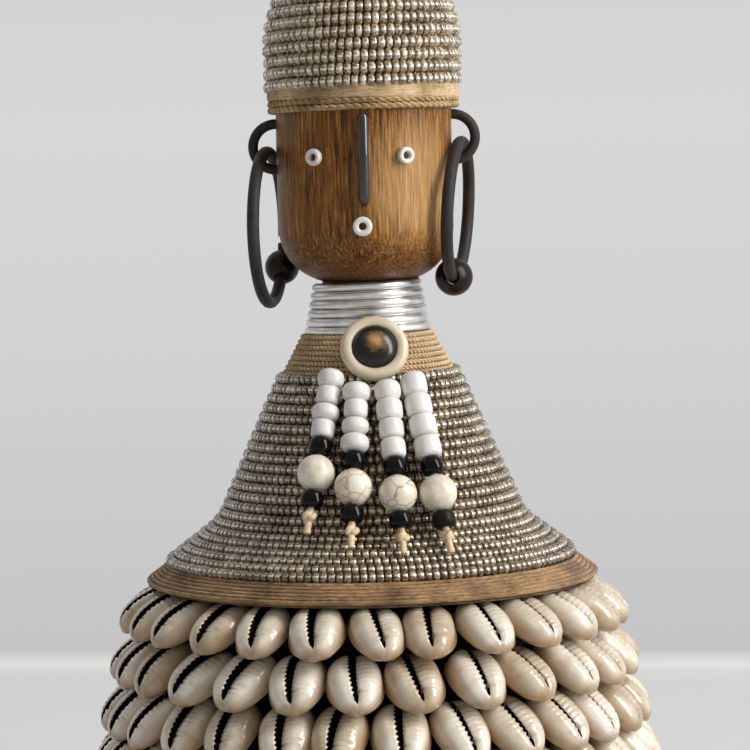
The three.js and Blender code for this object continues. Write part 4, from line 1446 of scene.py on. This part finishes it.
def paintedBoard(name, tones, ownShare):
    # matt painted board whose tone runs with the distance from the corner of wall and floor: the camera and
    # reflections see the given share of that tone as it is written, and the rest takes light and shadow
    material, tree, shader = newMaterial(name)
    distance = addNode(tree, "ShaderNodeAttribute", {"attribute_name": "cornerDistance"}).outputs["Fac"]
    longest = tones[-1][0]
    away = remap(tree, distance, 0, longest * mm, 0, 1)
    # the tones hold painted shade near the corner and a painted highlight along the floor's edge
    colour = ramp(tree, away, *[(place / longest, tone) for place, tone in tones])
    addNode(tree, shader, {"Base Color": colour, "Roughness": 0.9, "Specular IOR Level": 0.1})
    plain = addNode(tree, "ShaderNodeEmission", {"Color": colour}).outputs[0]
    rays = addNode(tree, "ShaderNodeLightPath").outputs
    seen = maths(tree, "MAXIMUM", rays["Is Camera Ray"], rays["Is Glossy Ray"])
    seen = maths(tree, "MAXIMUM", seen, rays["Is Transmission Ray"])
    share = maths(tree, "MULTIPLY", seen, ownShare)
    front = addNode(tree, "ShaderNodeMixShader", {0: share, 1: shader.outputs[0], 2: plain}).outputs[0]
    # nothing of the board shows from behind
    isBehind = addNode(tree, "ShaderNodeNewGeometry").outputs["Backfacing"]
    clear = addNode(tree, "ShaderNodeBsdfTransparent").outputs[0]
    oneSided = addNode(tree, "ShaderNodeMixShader", {0: isBehind, 1: front, 2: clear}).outputs[0]
    addNode(tree, tree.nodes["Material Output"], {"Surface": oneSided})
    return material


def studioBoard(name, size, middle, tilt, zero, tones, ownShare):
    # a board whose points keep their distance from the corner of wall and floor, which is at zero on it
    bpy.ops.mesh.primitive_plane_add(size=1)
    board = bpy.context.object
    board.name = name
    board.scale = (size[0], size[1], 1)
    bpy.ops.object.transform_apply()
    reach = board.data.attributes.new("cornerDistance", "FLOAT", "POINT")
    for vertex, mark in zip(board.data.vertices, reach.data):
        mark.value = abs(vertex.co.y - zero) if tilt else zero - vertex.co.y
    board.rotation_euler = (tilt, 0, 0)
    board.location = middle
    bpy.ops.object.transform_apply()
    board.data.transform(Matrix.Rotation(math.radians(studio["yaw"]), 4, "Z"))
    board.data.materials.append(paintedBoard(name, tones, ownShare))


def makeStudio():
    clearSelection()
    near, back, wall = studio["floorNear"], studio["floorBack"], studio["wallPlace"]
    wide, high = 2 * studio["halfWidth"], studio["wallHeight"]
    middle = (near + back) / 2
    floorLook = studio["floorTones"], studio["floorOwn"]
    wallLook = studio["wallTones"], studio["wallOwn"]
    studioBoard("studioFloor", (wide, back - near), (0, middle, 0), 0, wall - middle, *floorLook)
    studioBoard("studioWall", (wide, high), (0, wall, high / 2), math.pi / 2, -high / 2, *wallLook)

    for name, (spot, size, power) in studio["lamps"].items():
        bpy.ops.object.light_add(type="AREA", location=spot)
        lamp = bpy.context.object
        lamp.name = name
        lamp.data.shape = "RECTANGLE"
        lamp.data.size, lamp.data.size_y = size
        lamp.data.energy = power
        aim = Vector(studio["lampAim"]) - Vector(spot)
        lamp.rotation_euler = aim.to_track_quat("-Z", "Y").to_euler()

    world = bpy.data.worlds.new("softStudio")
    bpy.context.scene.world = world
    world.use_nodes = True
    tree = world.node_tree
    rays = addNode(tree, "ShaderNodeLightPath").outputs
    mirrored = remap(tree, rays["Is Glossy Ray"], 0, 1, studio["worldStrength"], studio["reflectedStrength"])
    strength = remap(tree, rays["Is Camera Ray"], 0, 1, mirrored, studio["seenStrength"])
    addNode(tree, tree.nodes["Background"], {"Color": studio["worldTone"], "Strength": strength})
    print("studio lit")


placeCamera()
finishes = makeFinishes()
makeStrands(finishes)
makeForms(finishes)
makeWindings(finishes)
makeHead(finishes)
makeFace(finishes)
makeEars(finishes)
makeMedallion(finishes)
makeCowries(finishes)
makeStudio()
